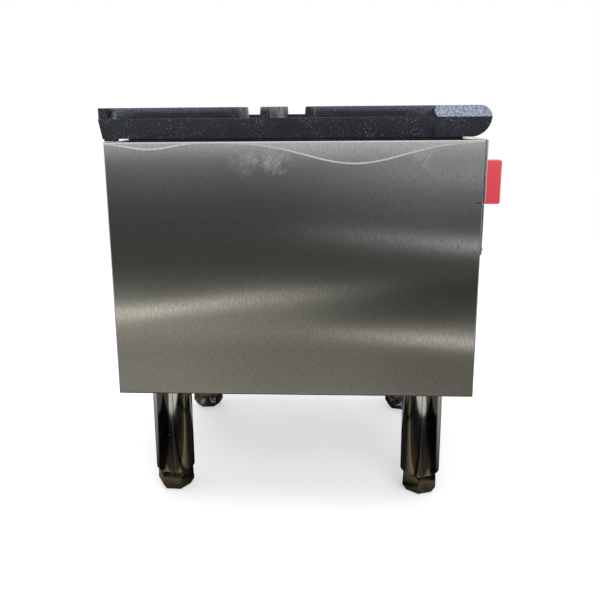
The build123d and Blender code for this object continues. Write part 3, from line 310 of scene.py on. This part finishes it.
def cast_iron(name):
    """Black grate casting: sandy skin with pale flecks, a painted bluish-white sheen on its sloped faces, and
    scorched pale on the noses round the burner, where the paling is kept to faces turned to the front as
    painted light from that side."""
    s = shader(name)
    sand = s.noise(520, 4.0, 0.62)
    pits = s.remap(s.cells(330), 0.0, 0.55)
    blotch = s.noise(28, 3.0, 0.6)
    fleck_noise = s.noise(430, 3.0, 0.7)
    flecks = s.math("MULTIPLY", s.remap(fleck_noise, 0.57, 0.69), s.remap(blotch, 0.38, 0.6, 0.1, 1.0))
    streaks = s.noise((260, 260, 12), 2.0)
    position = s.node("TexCoord").outputs["Object"]
    x, y = s.node("SeparateXYZ", {0: position}).outputs[:2]
    flat = s.node("CombineXYZ", {0: x, 1: y, 2: 0.0}).outputs[0]
    away = s.node("VectorMath", {0: flat, 1: burner_axis}, operation="DISTANCE").outputs["Value"]
    heat = s.within(away, *scorch_edge)
    facing = s.node("NewGeometry").outputs["Normal"]
    facing_y, facing_z = s.node("SeparateXYZ", {0: facing}).outputs[1:3]
    # only faces turned to the front get the pale scorch: real heat scorch round the burner, with painted
    # light from the front deciding which faces show it
    heat = s.math("MULTIPLY", heat, s.remap(facing_y, -0.15, -0.7))
    slope = s.math("MULTIPLY", s.math("MULTIPLY", facing_z, s.math("SUBTRACT", 1.0, facing_z)), 4.0)
    slope = s.remap(slope, 0.5, 0.9)
    tint = s.mix(blotch, (0.0075, 0.0082, 0.0125), (0.014, 0.016, 0.023))
    tint = s.mix(s.remap(sand, 0.45, 0.72, 0.0, 0.5), tint, (0.040, 0.044, 0.060))
    tint = s.mix(s.math("MULTIPLY", flecks, 0.7), tint, (0.22, 0.24, 0.31))
    # painted sheen: sloped faces are tinted pale bluish-white, as if catching the light
    painted_sheen = s.math("MULTIPLY", slope, s.remap(fleck_noise, 0.30, 0.60))
    tint = s.mix(s.math("MULTIPLY", painted_sheen, 0.9), tint, (0.42, 0.47, 0.60))
    scorched = s.mix(s.remap(streaks, 0.38, 0.60), (0.12, 0.125, 0.14), (0.62, 0.60, 0.57))
    tint = s.mix(s.math("MULTIPLY", heat, s.remap(sand, 0.35, 0.6, 0.55, 0.95)), tint, scorched)
    rough = s.remap(sand, 0.3, 0.7, 0.46, 0.66)
    normal = s.bump(blotch, 0.0006, 0.5)
    normal = s.bump(pits, 0.0005, 0.6, normal)
    normal = s.bump(sand, 0.0007, 0.8, normal)
    return s.finish(tint, rough, normal, 0.25, Specular_IOR_Level=0.5)


def burner_iron(name):
    """Bare grey casting, browned by heat."""
    s = shader(name)
    sand = s.noise(600, 4.0, 0.6)
    heat = s.noise(22, 4.0, 0.65)
    tint = s.mix(heat, (0.055, 0.054, 0.055), (0.115, 0.098, 0.082))
    tint = s.mix(s.remap(s.noise(60, 4.0, 0.7), 0.56, 0.72, 0.0, 0.7), tint, (0.13, 0.068, 0.038))
    tint = s.mix(s.remap(sand, 0.5, 0.75, 0.0, 0.4), tint, (0.19, 0.18, 0.17))
    normal = s.bump(s.noise(150, 3.0), 0.0004, 0.5)
    normal = s.bump(sand, 0.0005, 0.7, normal)
    return s.finish(tint, s.remap(sand, 0.3, 0.7, 0.58, 0.78), normal, 0.25)


def polished_tube(name):
    """Bright tube with fine rings from polishing, slightly smeared."""
    s = shader(name)
    rings = s.noise((14, 14, 1500), 2.0, 0.6)
    smear = s.noise(38, 4.0, 0.6)
    scuffs = s.remap(s.noise((500, 500, 120), 2.0, 0.5, (0.4, 0.2, 0)), 0.70, 0.80)
    tint = s.mix(smear, (0.66, 0.655, 0.62), (0.78, 0.775, 0.75))
    tint = s.mix(s.math("MULTIPLY", scuffs, 0.5), tint, (0.92, 0.92, 0.92))
    rough = s.math("ADD", s.remap(smear, 0.3, 0.75, 0.05, 0.13), s.math("MULTIPLY", scuffs, 0.2))
    normal = s.bump(s.noise((20, 20, 6), 1.0), 0.0006, 0.5)
    normal = s.bump(rings, 0.00001, 0.5, normal)
    return s.finish(tint, rough, normal, 1.0)


def foot_metal(name):
    """Dark plated metal: glossy, slightly lumpy, with brown tints."""
    s = shader(name)
    lumps = s.noise(120, 3.0, 0.55)
    tone = s.noise(60, 4.0, 0.6)
    tint = s.mix(tone, (0.30, 0.29, 0.26), (0.46, 0.42, 0.34))
    tint = s.mix(s.remap(s.noise(500, 2.0), 0.62, 0.8, 0.0, 0.5), tint, (0.60, 0.56, 0.48))
    rough = s.remap(lumps, 0.3, 0.7, 0.09, 0.20)
    normal = s.bump(lumps, 0.0004, 0.5)
    normal = s.bump(s.noise(700, 2.0), 0.00004, 0.5, normal)
    return s.finish(tint, rough, normal, 1.0, Coat_Weight=0.3, Coat_Roughness=0.08)


def die_cast(name):
    """Dull zinc casting with faint flow marks."""
    s = shader(name)
    skin = s.noise(350, 3.0)
    flow = s.noise((60, 60, 20), 3.0, 0.6)
    tint = s.mix(flow, (0.44, 0.44, 0.435), (0.60, 0.60, 0.595))
    normal = s.bump(skin, 0.0001, 0.6)
    return s.finish(tint, s.remap(skin, 0.3, 0.7, 0.34, 0.50), normal, 1.0)


def red_plastic(name):
    """Moulded knob plastic: satin, a faint orange peel, rubbed paler on its corners."""
    s = shader(name)
    peel = s.noise(900, 2.0)
    cloud = s.noise(45, 3.0)
    rounded = s.node("Bevel", {"Radius": 0.0015}, samples=4).outputs[0]
    true_normal = s.node("NewGeometry").outputs["Normal"]
    turned = s.node("VectorMath", {0: rounded, 1: true_normal}, operation="DOT_PRODUCT").outputs["Value"]
    edge = s.math("MULTIPLY", s.remap(turned, 0.995, 0.92), s.remap(cloud, 0.35, 0.65))
    tint = s.mix(cloud, (0.73, 0.050, 0.072), (0.80, 0.062, 0.088))
    tint = s.mix(s.math("MULTIPLY", edge, 0.35), tint, (0.86, 0.20, 0.22))
    rough = s.remap(s.noise(160, 3.0), 0.3, 0.7, 0.30, 0.44)
    normal = s.bump(peel, 0.00006, 0.5)
    normal = s.bump(cloud, 0.0003, 0.4, normal)
    return s.finish(tint, rough, normal, 0.0, Coat_Weight=0.15, Coat_Roughness=0.25)


def machined_brass(name):
    """Turned brass, partly tarnished."""
    s = shader(name)
    turned = s.noise((90, 1600, 90), 2.0)
    tarnish = s.noise(70, 4.0, 0.65)
    tint = s.mix(s.remap(tarnish, 0.35, 0.75), (0.74, 0.53, 0.22), (0.46, 0.31, 0.13))
    rough = s.remap(tarnish, 0.3, 0.7, 0.22, 0.42)
    normal = s.bump(turned, 0.00003, 0.6)
    return s.finish(tint, rough, normal, 1.0)


def black_pipe(name):
    """Steel pipe with mill scale, worn to brown in places."""
    s = shader(name)
    scale = s.noise(260, 4.0, 0.6)
    wear = s.remap(s.noise(34, 4.0, 0.65), 0.56, 0.74)
    tint = s.mix(scale, (0.016, 0.016, 0.017), (0.040, 0.040, 0.042))
    tint = s.mix(s.math("MULTIPLY", wear, 0.6), tint, (0.10, 0.066, 0.045))
    normal = s.bump(scale, 0.00025, 0.6)
    return s.finish(tint, s.remap(scale, 0.3, 0.7, 0.36, 0.58), normal, 0.5)


def zinc_plate(name):
    """Plated fasteners and small steel parts."""
    s = shader(name)
    tone = s.noise(110, 3.0)
    tint = s.mix(tone, (0.50, 0.50, 0.48), (0.68, 0.67, 0.62))
    normal = s.bump(s.noise(1200, 2.0), 0.00003, 0.6)
    return s.finish(tint, s.remap(tone, 0.3, 0.7, 0.24, 0.40), normal, 1.0)


def pointer_white(name):
    """The inlaid line on a knob."""
    s = shader(name)
    dirt = s.noise(300, 4.0, 0.6)
    tint = s.mix(s.remap(dirt, 0.45, 0.75), (0.80, 0.79, 0.76), (0.55, 0.52, 0.48))
    return s.finish(tint, s.remap(dirt, 0.3, 0.7, 0.38, 0.55), s.bump(dirt, 0.00005, 0.6), 0.0)


materials = {
    "stainless": brushed_stainless("stainless_sheet"),
    "galvanised": galvanised("galvanised_sheet"),
    "cast_iron": cast_iron("grate_iron"),
    "burner_iron": burner_iron("burner_iron_skin"),
    "polished_steel": polished_tube("polished_tube"),
    "foot_metal": foot_metal("foot_coating"),
    "insert_metal": die_cast("die_cast_metal"),
    "red_plastic": red_plastic("knob_plastic"),
    "brass": machined_brass("machined_brass"),
    "black_pipe": black_pipe("black_pipe_scale"),
    "zinc": zinc_plate("zinc_plate"),
}
rubbed_stainless = brushed_stainless("stainless_sheet_rubbed", photographed=True)
white_line = pointer_white("pointer_white_fill")

# each node's slot in the record and the body that it rides on
slot_of = {name: node.material_slots[0].material.name for name, node in frame["nodes"].items()}
body_of = {name: node["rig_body"] for name, node in frame["nodes"].items()}
for node_name, node in frame["nodes"].items():
    for place in node.material_slots:
        place.material = materials[slot_of[node_name]]
for place in frame["nodes"]["side_panel_left"].material_slots:
    place.material = rubbed_stainless


# ------------------------------------------------------------------ pieces
to_front, backwards = Vector((0, -1, 0)), Vector((0, 1, 0))
sideways, upwards = Vector((1, 0, 0)), Vector((0, 0, 1))
smooth_under = radians(32)              # faces that meet at less than this are shaded as one
sharp_over = radians(24)                # edges that turn by more than this are rounded off
merge_distance = 0.002 * mm
flat_within = radians(0.4)
level_margin = 0.01 * mm                # for telling which points lie at a given level
cut_margin = 1.0 * mm                   # how far a cutter stands out of the face that it cuts


def add_piece(name, bm, body, slot, material=None):
    """Makes a bmesh into a shown piece that rides on a body."""
    bmesh.ops.recalc_face_normals(bm, faces=bm.faces)
    mesh = bpy.data.meshes.new(name)
    bm.to_mesh(mesh)
    bm.free()
    mesh.materials.append(material or materials[slot])
    mesh.shade_smooth()
    mesh.set_sharp_from_angle(angle=smooth_under)
    piece = bpy.data.objects.new(name, mesh)
    scene.collection.objects.link(piece)
    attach(piece, body)
    return piece


def node_mesh(node_name):
    """A copy of a node's mesh without doubled points or cuts across flat faces."""
    bm = bmesh.new()
    bm.from_mesh(frame["nodes"][node_name].data)
    bmesh.ops.remove_doubles(bm, verts=bm.verts, dist=merge_distance)
    bmesh.ops.dissolve_limit(bm, angle_limit=flat_within, verts=bm.verts, edges=bm.edges)
    return bm


def round_edges(bm, width, segments=3):
    sharp = [e for e in bm.edges if e.is_manifold and e.calc_face_angle(0.0) > sharp_over]
    bmesh.ops.bevel(bm, geom=sharp, offset=width, segments=segments, profile=0.5,
                    affect="EDGES", clamp_overlap=True)


def stand_for(node_name, name, bm):
    """Makes a bmesh into a piece that stands for a node."""
    piece = add_piece(name, bm, body_of[node_name], slot_of[node_name])
    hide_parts(node_name)
    return piece


def soften(name, node_name, width, segments=3):
    """A copy of a node with its edges rounded off, which stands for it."""
    bm = node_mesh(node_name)
    round_edges(bm, width, segments)
    return stand_for(node_name, name, bm)


def add_thread(bm, start, along, length, root, crest, pitch):
    """Winds a V thread round an axis: two helices, at the root and at the crest, joined by sheets."""
    steps = 24
    side = along.orthogonal().normalized()
    up = along.cross(side)
    count = int(steps * (length / pitch + 1))

    def wind(radius, rise):
        row = []
        for i in range(count):
            angle = 2 * pi * i / steps
            height = min(max(pitch * (i / steps - 1) + rise, 0.0), length)
            row.append(bm.verts.new(start + along * height + radius * (cos(angle) * side + sin(angle) * up)))
        return row

    inner, outer = wind(root, 0.0), wind(crest, pitch / 2)
    for i in range(count - 1):
        bm.faces.new((inner[i], inner[i + 1], outer[i + 1], outer[i]))
        if i + steps + 1 < count:
            bm.faces.new((outer[i], outer[i + 1], inner[i + steps + 1], inner[i + steps]))


def add_slot(bm, centre, across, along, length, width, depth):
    """A round-ended bar that runs backwards from the centre of its front end."""
    turns = 8
    half = length / 2 - width / 2
    outline = [(end * (half + width / 2 * sin(angle)), end * width / 2 * cos(angle))
               for end in (1, -1) for angle in (pi * i / turns for i in range(turns + 1))]
    top, floor = ([bm.verts.new(centre + backwards * sink + along * up + across * out) for up, out in outline]
                  for sink in (0.0, depth))
    bm.faces.new(top)
    bm.faces.new(floor)
    for i in range(len(top)):
        j = (i + 1) % len(top)
        bm.faces.new((top[i], top[j], floor[j], floor[i]))


def carve(piece, bm):
    """Cuts a closed bmesh out of a piece for good."""
    bmesh.ops.recalc_face_normals(bm, faces=bm.faces)
    mesh = bpy.data.meshes.new("cutter")
    bm.to_mesh(mesh)
    bm.free()
    cutter = bpy.data.objects.new("cutter", mesh)
    scene.collection.objects.link(cutter)
    cut = piece.modifiers.new("cut", "BOOLEAN")
    cut.object = cutter
    cut.solver = "EXACT"
    shown = piece.evaluated_get(bpy.context.evaluated_depsgraph_get())
    carved = bpy.data.meshes.new_from_object(shown)
    piece.modifiers.clear()
    piece.data = carved
    carved.set_sharp_from_angle(angle=smooth_under)
    bpy.data.objects.remove(cutter)


line_width = 2.2 * mm
line_length = 17.0 * mm
line_from_rim = 5.5 * mm
line_groove = 0.6 * mm
line_sink = 0.12 * mm
line_gap = 0.05 * mm


def make_knob(side):
    """A knob with a white line let into its bar, which points up when the gas is off."""
    knob = f"knob_{side}"
    moulding = soften(f"knob_moulding_{side}", knob, 0.8 * mm)
    low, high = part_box(knob)
    face = Vector(((low[0] + high[0]) / 2, low[1], high[2] - line_from_rim - line_length / 2))
    groove = bmesh.new()
    add_slot(groove, face + to_front * cut_margin, sideways, upwards,
             line_length, line_width, line_groove + cut_margin)
    carve(moulding, groove)
    inlay = bmesh.new()
    add_slot(inlay, face + backwards * line_sink, sideways, upwards,
             line_length - 2 * line_gap, line_width - 2 * line_gap, line_groove - line_sink)
    add_piece(f"pointer_line_{side}", inlay, body_of[knob], slot_of[knob], white_line)


stud_crest = 7.9 * mm
stud_root = 7.0 * mm
stud_pitch = 2.5 * mm
stud_reach = 1.05 * stud_crest          # points nearer the axis than this belong to the stud
hexagon_reach = 2 * stud_crest          # and those further out than this to the hexagon
foot_edge = 1.2 * mm


def make_foot(corner):
    """A foot whose threaded stud shows when it is screwed out."""
    node_name = f"foot_{corner}"
    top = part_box(node_name)[1][2]
    bm = node_mesh(node_name)
    stud_ring = [v for v in bm.verts if v.co.z > top - level_margin]
    axis = sum((v.co for v in stud_ring), Vector()) / len(stud_ring)
    hexagon_top = max(v.co.z for v in bm.verts if (v.co - axis).xy.length > hexagon_reach)
    for v in bm.verts:
        out = (v.co - axis).xy
        if out.length < stud_reach:
            v.co.xy = axis.xy + out.normalized() * stud_root
    round_edges(bm, foot_edge)
    start = Vector((axis.x, axis.y, hexagon_top))
    add_thread(bm, start, upwards, top - hexagon_top, stud_root, stud_crest, stud_pitch)
    stand_for(node_name, f"threaded_{node_name}", bm)


inlet_root = 12.1 * mm
inlet_crest = 13.0 * mm
inlet_pitch = 1.814 * mm
inlet_thread = 18.0 * mm


def make_inlet_pipe():
    """The gas inlet, with a thread on its end."""
    low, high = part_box("inlet_pipe")
    bm = node_mesh("inlet_pipe")
    start = Vector(((low[0] + high[0]) / 2, high[1] - inlet_thread, (low[2] + high[2]) / 2))
    for v in bm.verts:
        out = Vector((v.co.x - start.x, 0, v.co.z - start.z))
        if v.co.y > start.y - level_margin and out.length > (inlet_root + inlet_crest) / 2:
            out = out.normalized() * inlet_root
            v.co.x, v.co.z = start.x + out.x, start.z + out.z
    add_thread(bm, start, backwards, inlet_thread, inlet_root, inlet_crest, inlet_pitch)
    stand_for("inlet_pipe", "threaded_inlet_pipe", bm)


recess_length = 4.0 * mm
recess_width = 0.9 * mm
recess_depth = 1.2 * mm


def make_screws():
    """The apron's two screws, with cross recesses in their heads."""
    screws = soften("cross_head_screws", "apron_screws", 0.25 * mm)
    low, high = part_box("apron_screws")
    head_radius = (high[2] - low[2]) / 2
    for x in (low[0] + head_radius, high[0] - head_radius):
        face = Vector((x, low[1], (low[2] + high[2]) / 2))
        for across, along in ((sideways, upwards), (upwards, sideways)):
            recess = bmesh.new()
            add_slot(recess, face + to_front * cut_margin, across, along,
                     recess_length, recess_width, recess_depth + cut_margin)
            carve(screws, recess)


soften("grate_casting", "top_grate", 1.2 * mm)
soften("outer_burner_casting", "outer_burner", 0.6 * mm, 2)
soften("inner_burner_casting", "inner_burner", 0.6 * mm, 2)
for side in ("left", "right"):
    soften(f"valve_body_{side}", f"gas_valve_{side}", 0.4 * mm, 2)
    soften(f"orifice_hood_{side}", f"orifice_{side}", 0.3 * mm, 2)
soften("elbow_casting", "gas_elbow", 0.6 * mm)
soften("cap_casting", "manifold_cap", 0.6 * mm)
soften("pilot_valve_body", "pilot_valve", 0.3 * mm, 2)
soften("insert_castings", "leg_inserts", 0.5 * mm, 2)
soften("leg_hex_nuts", "leg_nuts", 0.3 * mm, 2)
soften("bracket_nuts", "u_bolt_nuts", 0.25 * mm, 2)
for side in ("left", "right"):
    make_knob(side)
for corner in ("front_left", "front_right", "rear_left", "rear_right"):
    make_foot(corner)
make_inlet_pipe()
make_screws()


# ------------------------------------------------------------------ stage
floor_half = 12.0
floor_drop = 0.0006
floor_tone = 0.80
floor_glow = 0.42                       # what is added where the floor is seen or mirrored
near_floor = 0.9                        # its shading fades into plain white from here
far_floor = 2.6                         # to here
far_floor_dim = 0.6                     # the plain white, for rays that only carry its light


def seen_directly(s):
    """1 for rays from the camera and for mirrored or transmitted ones, and 0 for the rest."""
    path = s.node("LightPath").outputs
    seen = s.math("MAXIMUM", path["Is Camera Ray"], path["Is Glossy Ray"])
    return s.math("MAXIMUM", seen, path["Is Transmission Ray"])


def make_floor():
    """A pale floor that keeps the range's shadow and fades to white."""
    bm = bmesh.new()
    bmesh.ops.create_grid(bm, x_segments=1, y_segments=1, size=floor_half)
    mesh = bpy.data.meshes.new("floor")
    bm.to_mesh(mesh)
    bm.free()
    floor = bpy.data.objects.new("floor", mesh)
    floor.location.z = -floor_drop
    scene.collection.objects.link(floor)
    s = shader("pale_floor")
    seen = seen_directly(s)
    own = s.node("TexCoord").outputs["Object"]
    distance = s.node("VectorMath", {0: own}, operation="LENGTH").outputs["Value"]
    diffuse = s.node("BsdfDiffuse", {"Color": (floor_tone, floor_tone, floor_tone, 1.0)}).outputs[0]
    glow = s.emission((1, 1, 1, 1), s.math("MULTIPLY", seen, floor_glow))
    near = s.node("AddShader", {0: diffuse, 1: glow}).outputs[0]
    white = s.emission((1, 1, 1, 1), s.remap(seen, 0, 1, far_floor_dim, 1.0))
    fade = s.within(distance, near_floor, far_floor)
    s.node("OutputMaterial", {"Surface": s.node("MixShader", {0: fade, 1: near, 2: white}).outputs[0]})
    mesh.materials.append(s.owner)


# What the bright metal mirrors is painted on a room that only mirrored rays meet: a floor out to a
# wall, as rings of (radius, height).
wall_radius = 9.0
wall_height = 2.2
room_rings = ((0.6, 0.0), (1.5, 0.0), (4.0, 0.0), (wall_radius, 0.0), (wall_radius, wall_height))
room_turns = 96

# Its far part on the photographed side is laid out by where the left panel shows it to the camera:
# Y and Z on that panel, in metres. First its colour by height, from the panel's foot to its top.
panel_low, panel_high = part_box("side_panel_left")
panel_x = panel_low[0]
mirror_base = ((0.170, (0.235, 0.225, 0.190)),
               (0.242, (0.200, 0.193, 0.165)),
               (0.267, (0.260, 0.250, 0.215)),
               (0.303, (0.225, 0.220, 0.190)),
               (0.326, (0.120, 0.118, 0.104)),
               (0.354, (0.060, 0.061, 0.056)),
               (0.391, (0.062, 0.060, 0.054)),
               (0.438, (0.064, 0.069, 0.076)),
               (0.476, (0.125, 0.129, 0.127)),
               (0.495, (0.140, 0.143, 0.140)),
               (0.513, (0.550, 0.555, 0.550)),
               (0.540, (0.920, 0.930, 0.930)))
# Patches where that is stronger or weaker: Y from none to full, Z from none to full at the lower
# and at the upper edge, and the gain.
mirror_gains = (((0.02, -0.16), (0.40, 0.43), (0.51, 0.49), 2.1),
                ((0.02, 0.20), (0.16, 0.17), (0.31, 0.27), 1.35),
                ((-0.06, -0.16), (0.15, 0.16), (0.26, 0.23), 0.75),
                ((0.04, -0.10), (0.262, 0.287), (0.352, 0.325), 0.28))
# Soft bright strips: (Y, Z) at each end, strength at each end, half width, colour.
mirror_strips = (((0.26, 0.287), (-0.15, 0.3366), 0.85, 0.0, 0.014, (1.0, 0.96, 0.83)),
                 ((0.00, 0.268), (-0.24, 0.250), 0.0, 0.75, 0.012, (1.0, 0.97, 0.88)),
                 ((0.01, 0.406), (-0.24, 0.381), 0.0, 0.85, 0.011, (0.97, 1.0, 1.0)),
                 ((-0.06, 0.482), (-0.22, 0.470), 0.0, 0.16, 0.020, (0.98, 1.0, 1.0)))

# The floor near the feet, by how far outside the body's outline a place lies.
body_middle_y = (panel_low[1] + panel_high[1]) / 2
body_half = (-panel_x, (panel_high[1] - panel_low[1]) / 2)
near_light = ((-0.200, (0.011, 0.011, 0.010)),
              (-0.075, (0.012, 0.012, 0.010)),
              (-0.035, (0.080, 0.070, 0.050)),
              (0.008, (0.190, 0.160, 0.100)),
              (0.022, (0.034, 0.028, 0.020)),
              (0.075, (0.024, 0.019, 0.012)),
              (0.110, (0.008, 0.008, 0.008)),
              (0.245, (0.007, 0.007, 0.008)),
              (0.262, (0.600, 0.580, 0.520)),
              (0.400, (0.640, 0.620, 0.570)))
near_end = (0.385, 0.42)                # where it gives way to the far part
stripe_y = 0.125                        # a dark line on each side of the middle
stripe_half = (0.018, 0.008)            # its outer and inner half width
stripe_shade = 0.12
streak_colour = (0.055, 0.062, 0.070)   # faint streaks along X, all over it
far_strip_x = 0.09                      # pale broken streaks, which the far feet mirror
far_strip_half = (0.045, 0.030)
far_strip_colour = (0.42, 0.47, 0.60)
photo_patch_x = (-0.21, -0.24)          # the light is full beside the photographed panel
photo_patch_y = (0.30, 0.25)
under_edge = (0.03, 0.0)                # and under the body
side_dim = 0.12                         # and falls to this elsewhere

# The same by distance for the other sides, near and far, and where they begin.
plain_near = ((0.00, (0.05, 0.047, 0.040)), (0.12, (0.20, 0.195, 0.18)), (0.42, (0.45, 0.445, 0.43)))
plain_light = ((0.40, (0.25, 0.24, 0.22)), (1.30, (0.78, 0.77, 0.75)), (3.00, (0.66, 0.66, 0.66)),
               (9.00, (0.90, 0.90, 0.90)))
plain_near_x = (-0.17, -0.09)
plain_near_edge = (-0.01, 0.03)
photo_slope = 0.55                      # the photographed side goes by X plus this share of |Y|,
photo_side = (0.1, -0.35)               # from none of its far light to all of it


def panel_light(s, x, y, z):
    """The far light on the photographed side."""
    share = s.math("DIVIDE", panel_x - camera_place.x, s.math("SUBTRACT", 2 * panel_x - camera_place.x, x))
    shown_y, shown_z = (
        s.math("ADD", s.math("MULTIPLY", s.math("SUBTRACT", value, eye), share), eye)
        for value, eye in ((y, camera_place.y), (z, camera_place.z)))
    light = s.table(shown_z, mirror_base)
    for across, lower, upper, gain in mirror_gains:
        amount = s.math("MULTIPLY", s.within(shown_y, *across), s.within(shown_z, *lower))
        amount = s.math("MULTIPLY", amount, s.within(shown_z, *upper))
        light = s.scaled(light, s.remap(amount, 0, 1, 1.0, gain))
    for start, end, first, last, half_width, colour in mirror_strips:
        line = s.remap(shown_y, start[0], end[0], start[1], end[1])
        strip = s.within(s.apart(shown_z, line), half_width, 0.0)
        strength = s.math("MULTIPLY", strip, s.remap(shown_y, start[0], end[0], first, last))
        light = s.added(light, s.scaled(colour, strength))
    return light


def near_feet_light(s, x, y, outside):
    """The floor near the feet, which the legs and feet mirror."""
    light = s.table(outside, near_light)
    stripe = s.within(s.apart(s.math("ABSOLUTE", y), stripe_y), *stripe_half)
    light = s.scaled(light, s.remap(stripe, 0, 1, 1.0, stripe_shade))
    streaks = s.remap(s.noise((1.2, 38, 1)), 0.62, 0.70)
    light = s.added(light, s.scaled(streak_colour, streaks))
    photo_patch = s.math("MULTIPLY", s.within(x, *photo_patch_x),
                         s.within(s.math("ABSOLUTE", y), *photo_patch_y))
    full = s.math("MAXIMUM", photo_patch, s.within(outside, *under_edge))
    light = s.scaled(light, s.math("MAXIMUM", full, side_dim))
    beyond_feet = s.math("MULTIPLY", s.within(s.apart(x, far_strip_x), *far_strip_half),
                         s.remap(s.noise((2, 60, 1)), 0.50, 0.56))
    light = s.added(light, s.scaled(far_strip_colour, beyond_feet))
    other_sides = s.math("MULTIPLY", s.within(x, *plain_near_x), s.within(outside, *plain_near_edge))
    return s.mix(other_sides, light, s.table(outside, plain_near))


def room_light():
    """All that the room shows, on its sides, near and far."""
    s = shader("room_light")
    x, y, z = s.node("SeparateXYZ", {0: s.node("NewGeometry").outputs["Position"]}).outputs[:3]
    out_x = s.math("SUBTRACT", s.math("ABSOLUTE", x), body_half[0])
    out_y = s.math("SUBTRACT", s.apart(y, body_middle_y), body_half[1])
    outside = s.math("MAXIMUM", out_x, out_y)
    edge = s.math("ADD", x, s.math("MULTIPLY", s.math("ABSOLUTE", y), photo_slope))
    photographed_side = s.within(edge, *photo_side)
    far = s.mix(photographed_side, s.table(outside, plain_light), panel_light(s, x, y, z))
    near = near_feet_light(s, x, y, outside)
    colour = s.mix(s.within(outside, *near_end), near, far)
    s.node("OutputMaterial", {"Surface": s.emission(colour, 1.0)})
    return s.owner


def make_room():
    """The room that the bright metal mirrors, met by mirrored rays alone."""
    bm = bmesh.new()
    rows = [[bm.verts.new((radius * cos(2 * pi * i / room_turns), radius * sin(2 * pi * i / room_turns),
                           height - floor_drop / 2)) for i in range(room_turns)]
            for radius, height in room_rings]
    bm.faces.new(rows[0])
    for inner, outer in zip(rows, rows[1:]):
        for i in range(room_turns):
            j = (i + 1) % room_turns
            bm.faces.new((inner[i], inner[j], outer[j], outer[i]))
    mesh = bpy.data.meshes.new("room")
    bm.to_mesh(mesh)
    bm.free()
    mesh.materials.append(room_light())
    room = bpy.data.objects.new("room", mesh)
    scene.collection.objects.link(room)
    room.visible_camera = False
    room.visible_diffuse = False
    room.visible_shadow = False
    room.visible_transmission = False
    room.visible_volume_scatter = False


sky_colour = (0.97, 0.985, 1.0, 1.0)
sky_strength = 0.72
aim_height = 0.4
# (place, size, power in watts)
lamps = {"top_light": ((0.0, 0.0, 2.6), 2.2, 24.0),
         "left_light": ((-2.4, -0.9, 1.7), 1.6, 26.0),
         "right_light": ((2.2, 1.2, 2.0), 1.4, 10.0)}


def make_light():
    """White to the camera and in mirrors, and an even soft light on the range."""
    world = bpy.data.worlds.new("studio")
    scene.world = world
    s = Shader(world)
    soft = s.node("Background", {"Color": sky_colour, "Strength": sky_strength}).outputs[0]
    white = s.node("Background", {"Color": (1, 1, 1, 1), "Strength": 1.0}).outputs[0]
    shown = s.node("MixShader", {0: seen_directly(s), 1: soft, 2: white}).outputs[0]
    s.node("OutputWorld", {"Surface": shown})
    for name, (place, size, power) in lamps.items():
        lamp = bpy.data.lights.new(name, "AREA")
        lamp.shape = "SQUARE"
        lamp.size = size
        lamp.energy = power
        carrier = bpy.data.objects.new(name, lamp)
        carrier.location = place
        carrier.visible_glossy = False
        aim = Vector((0.0, 0.0, aim_height)) - Vector(place)
        carrier.rotation_euler = aim.to_track_quat("-Z", "Y").to_euler()
        scene.collection.objects.link(carrier)


make_floor()
make_room()
make_light()
make_camera()
scene.view_settings.view_transform = "Standard"
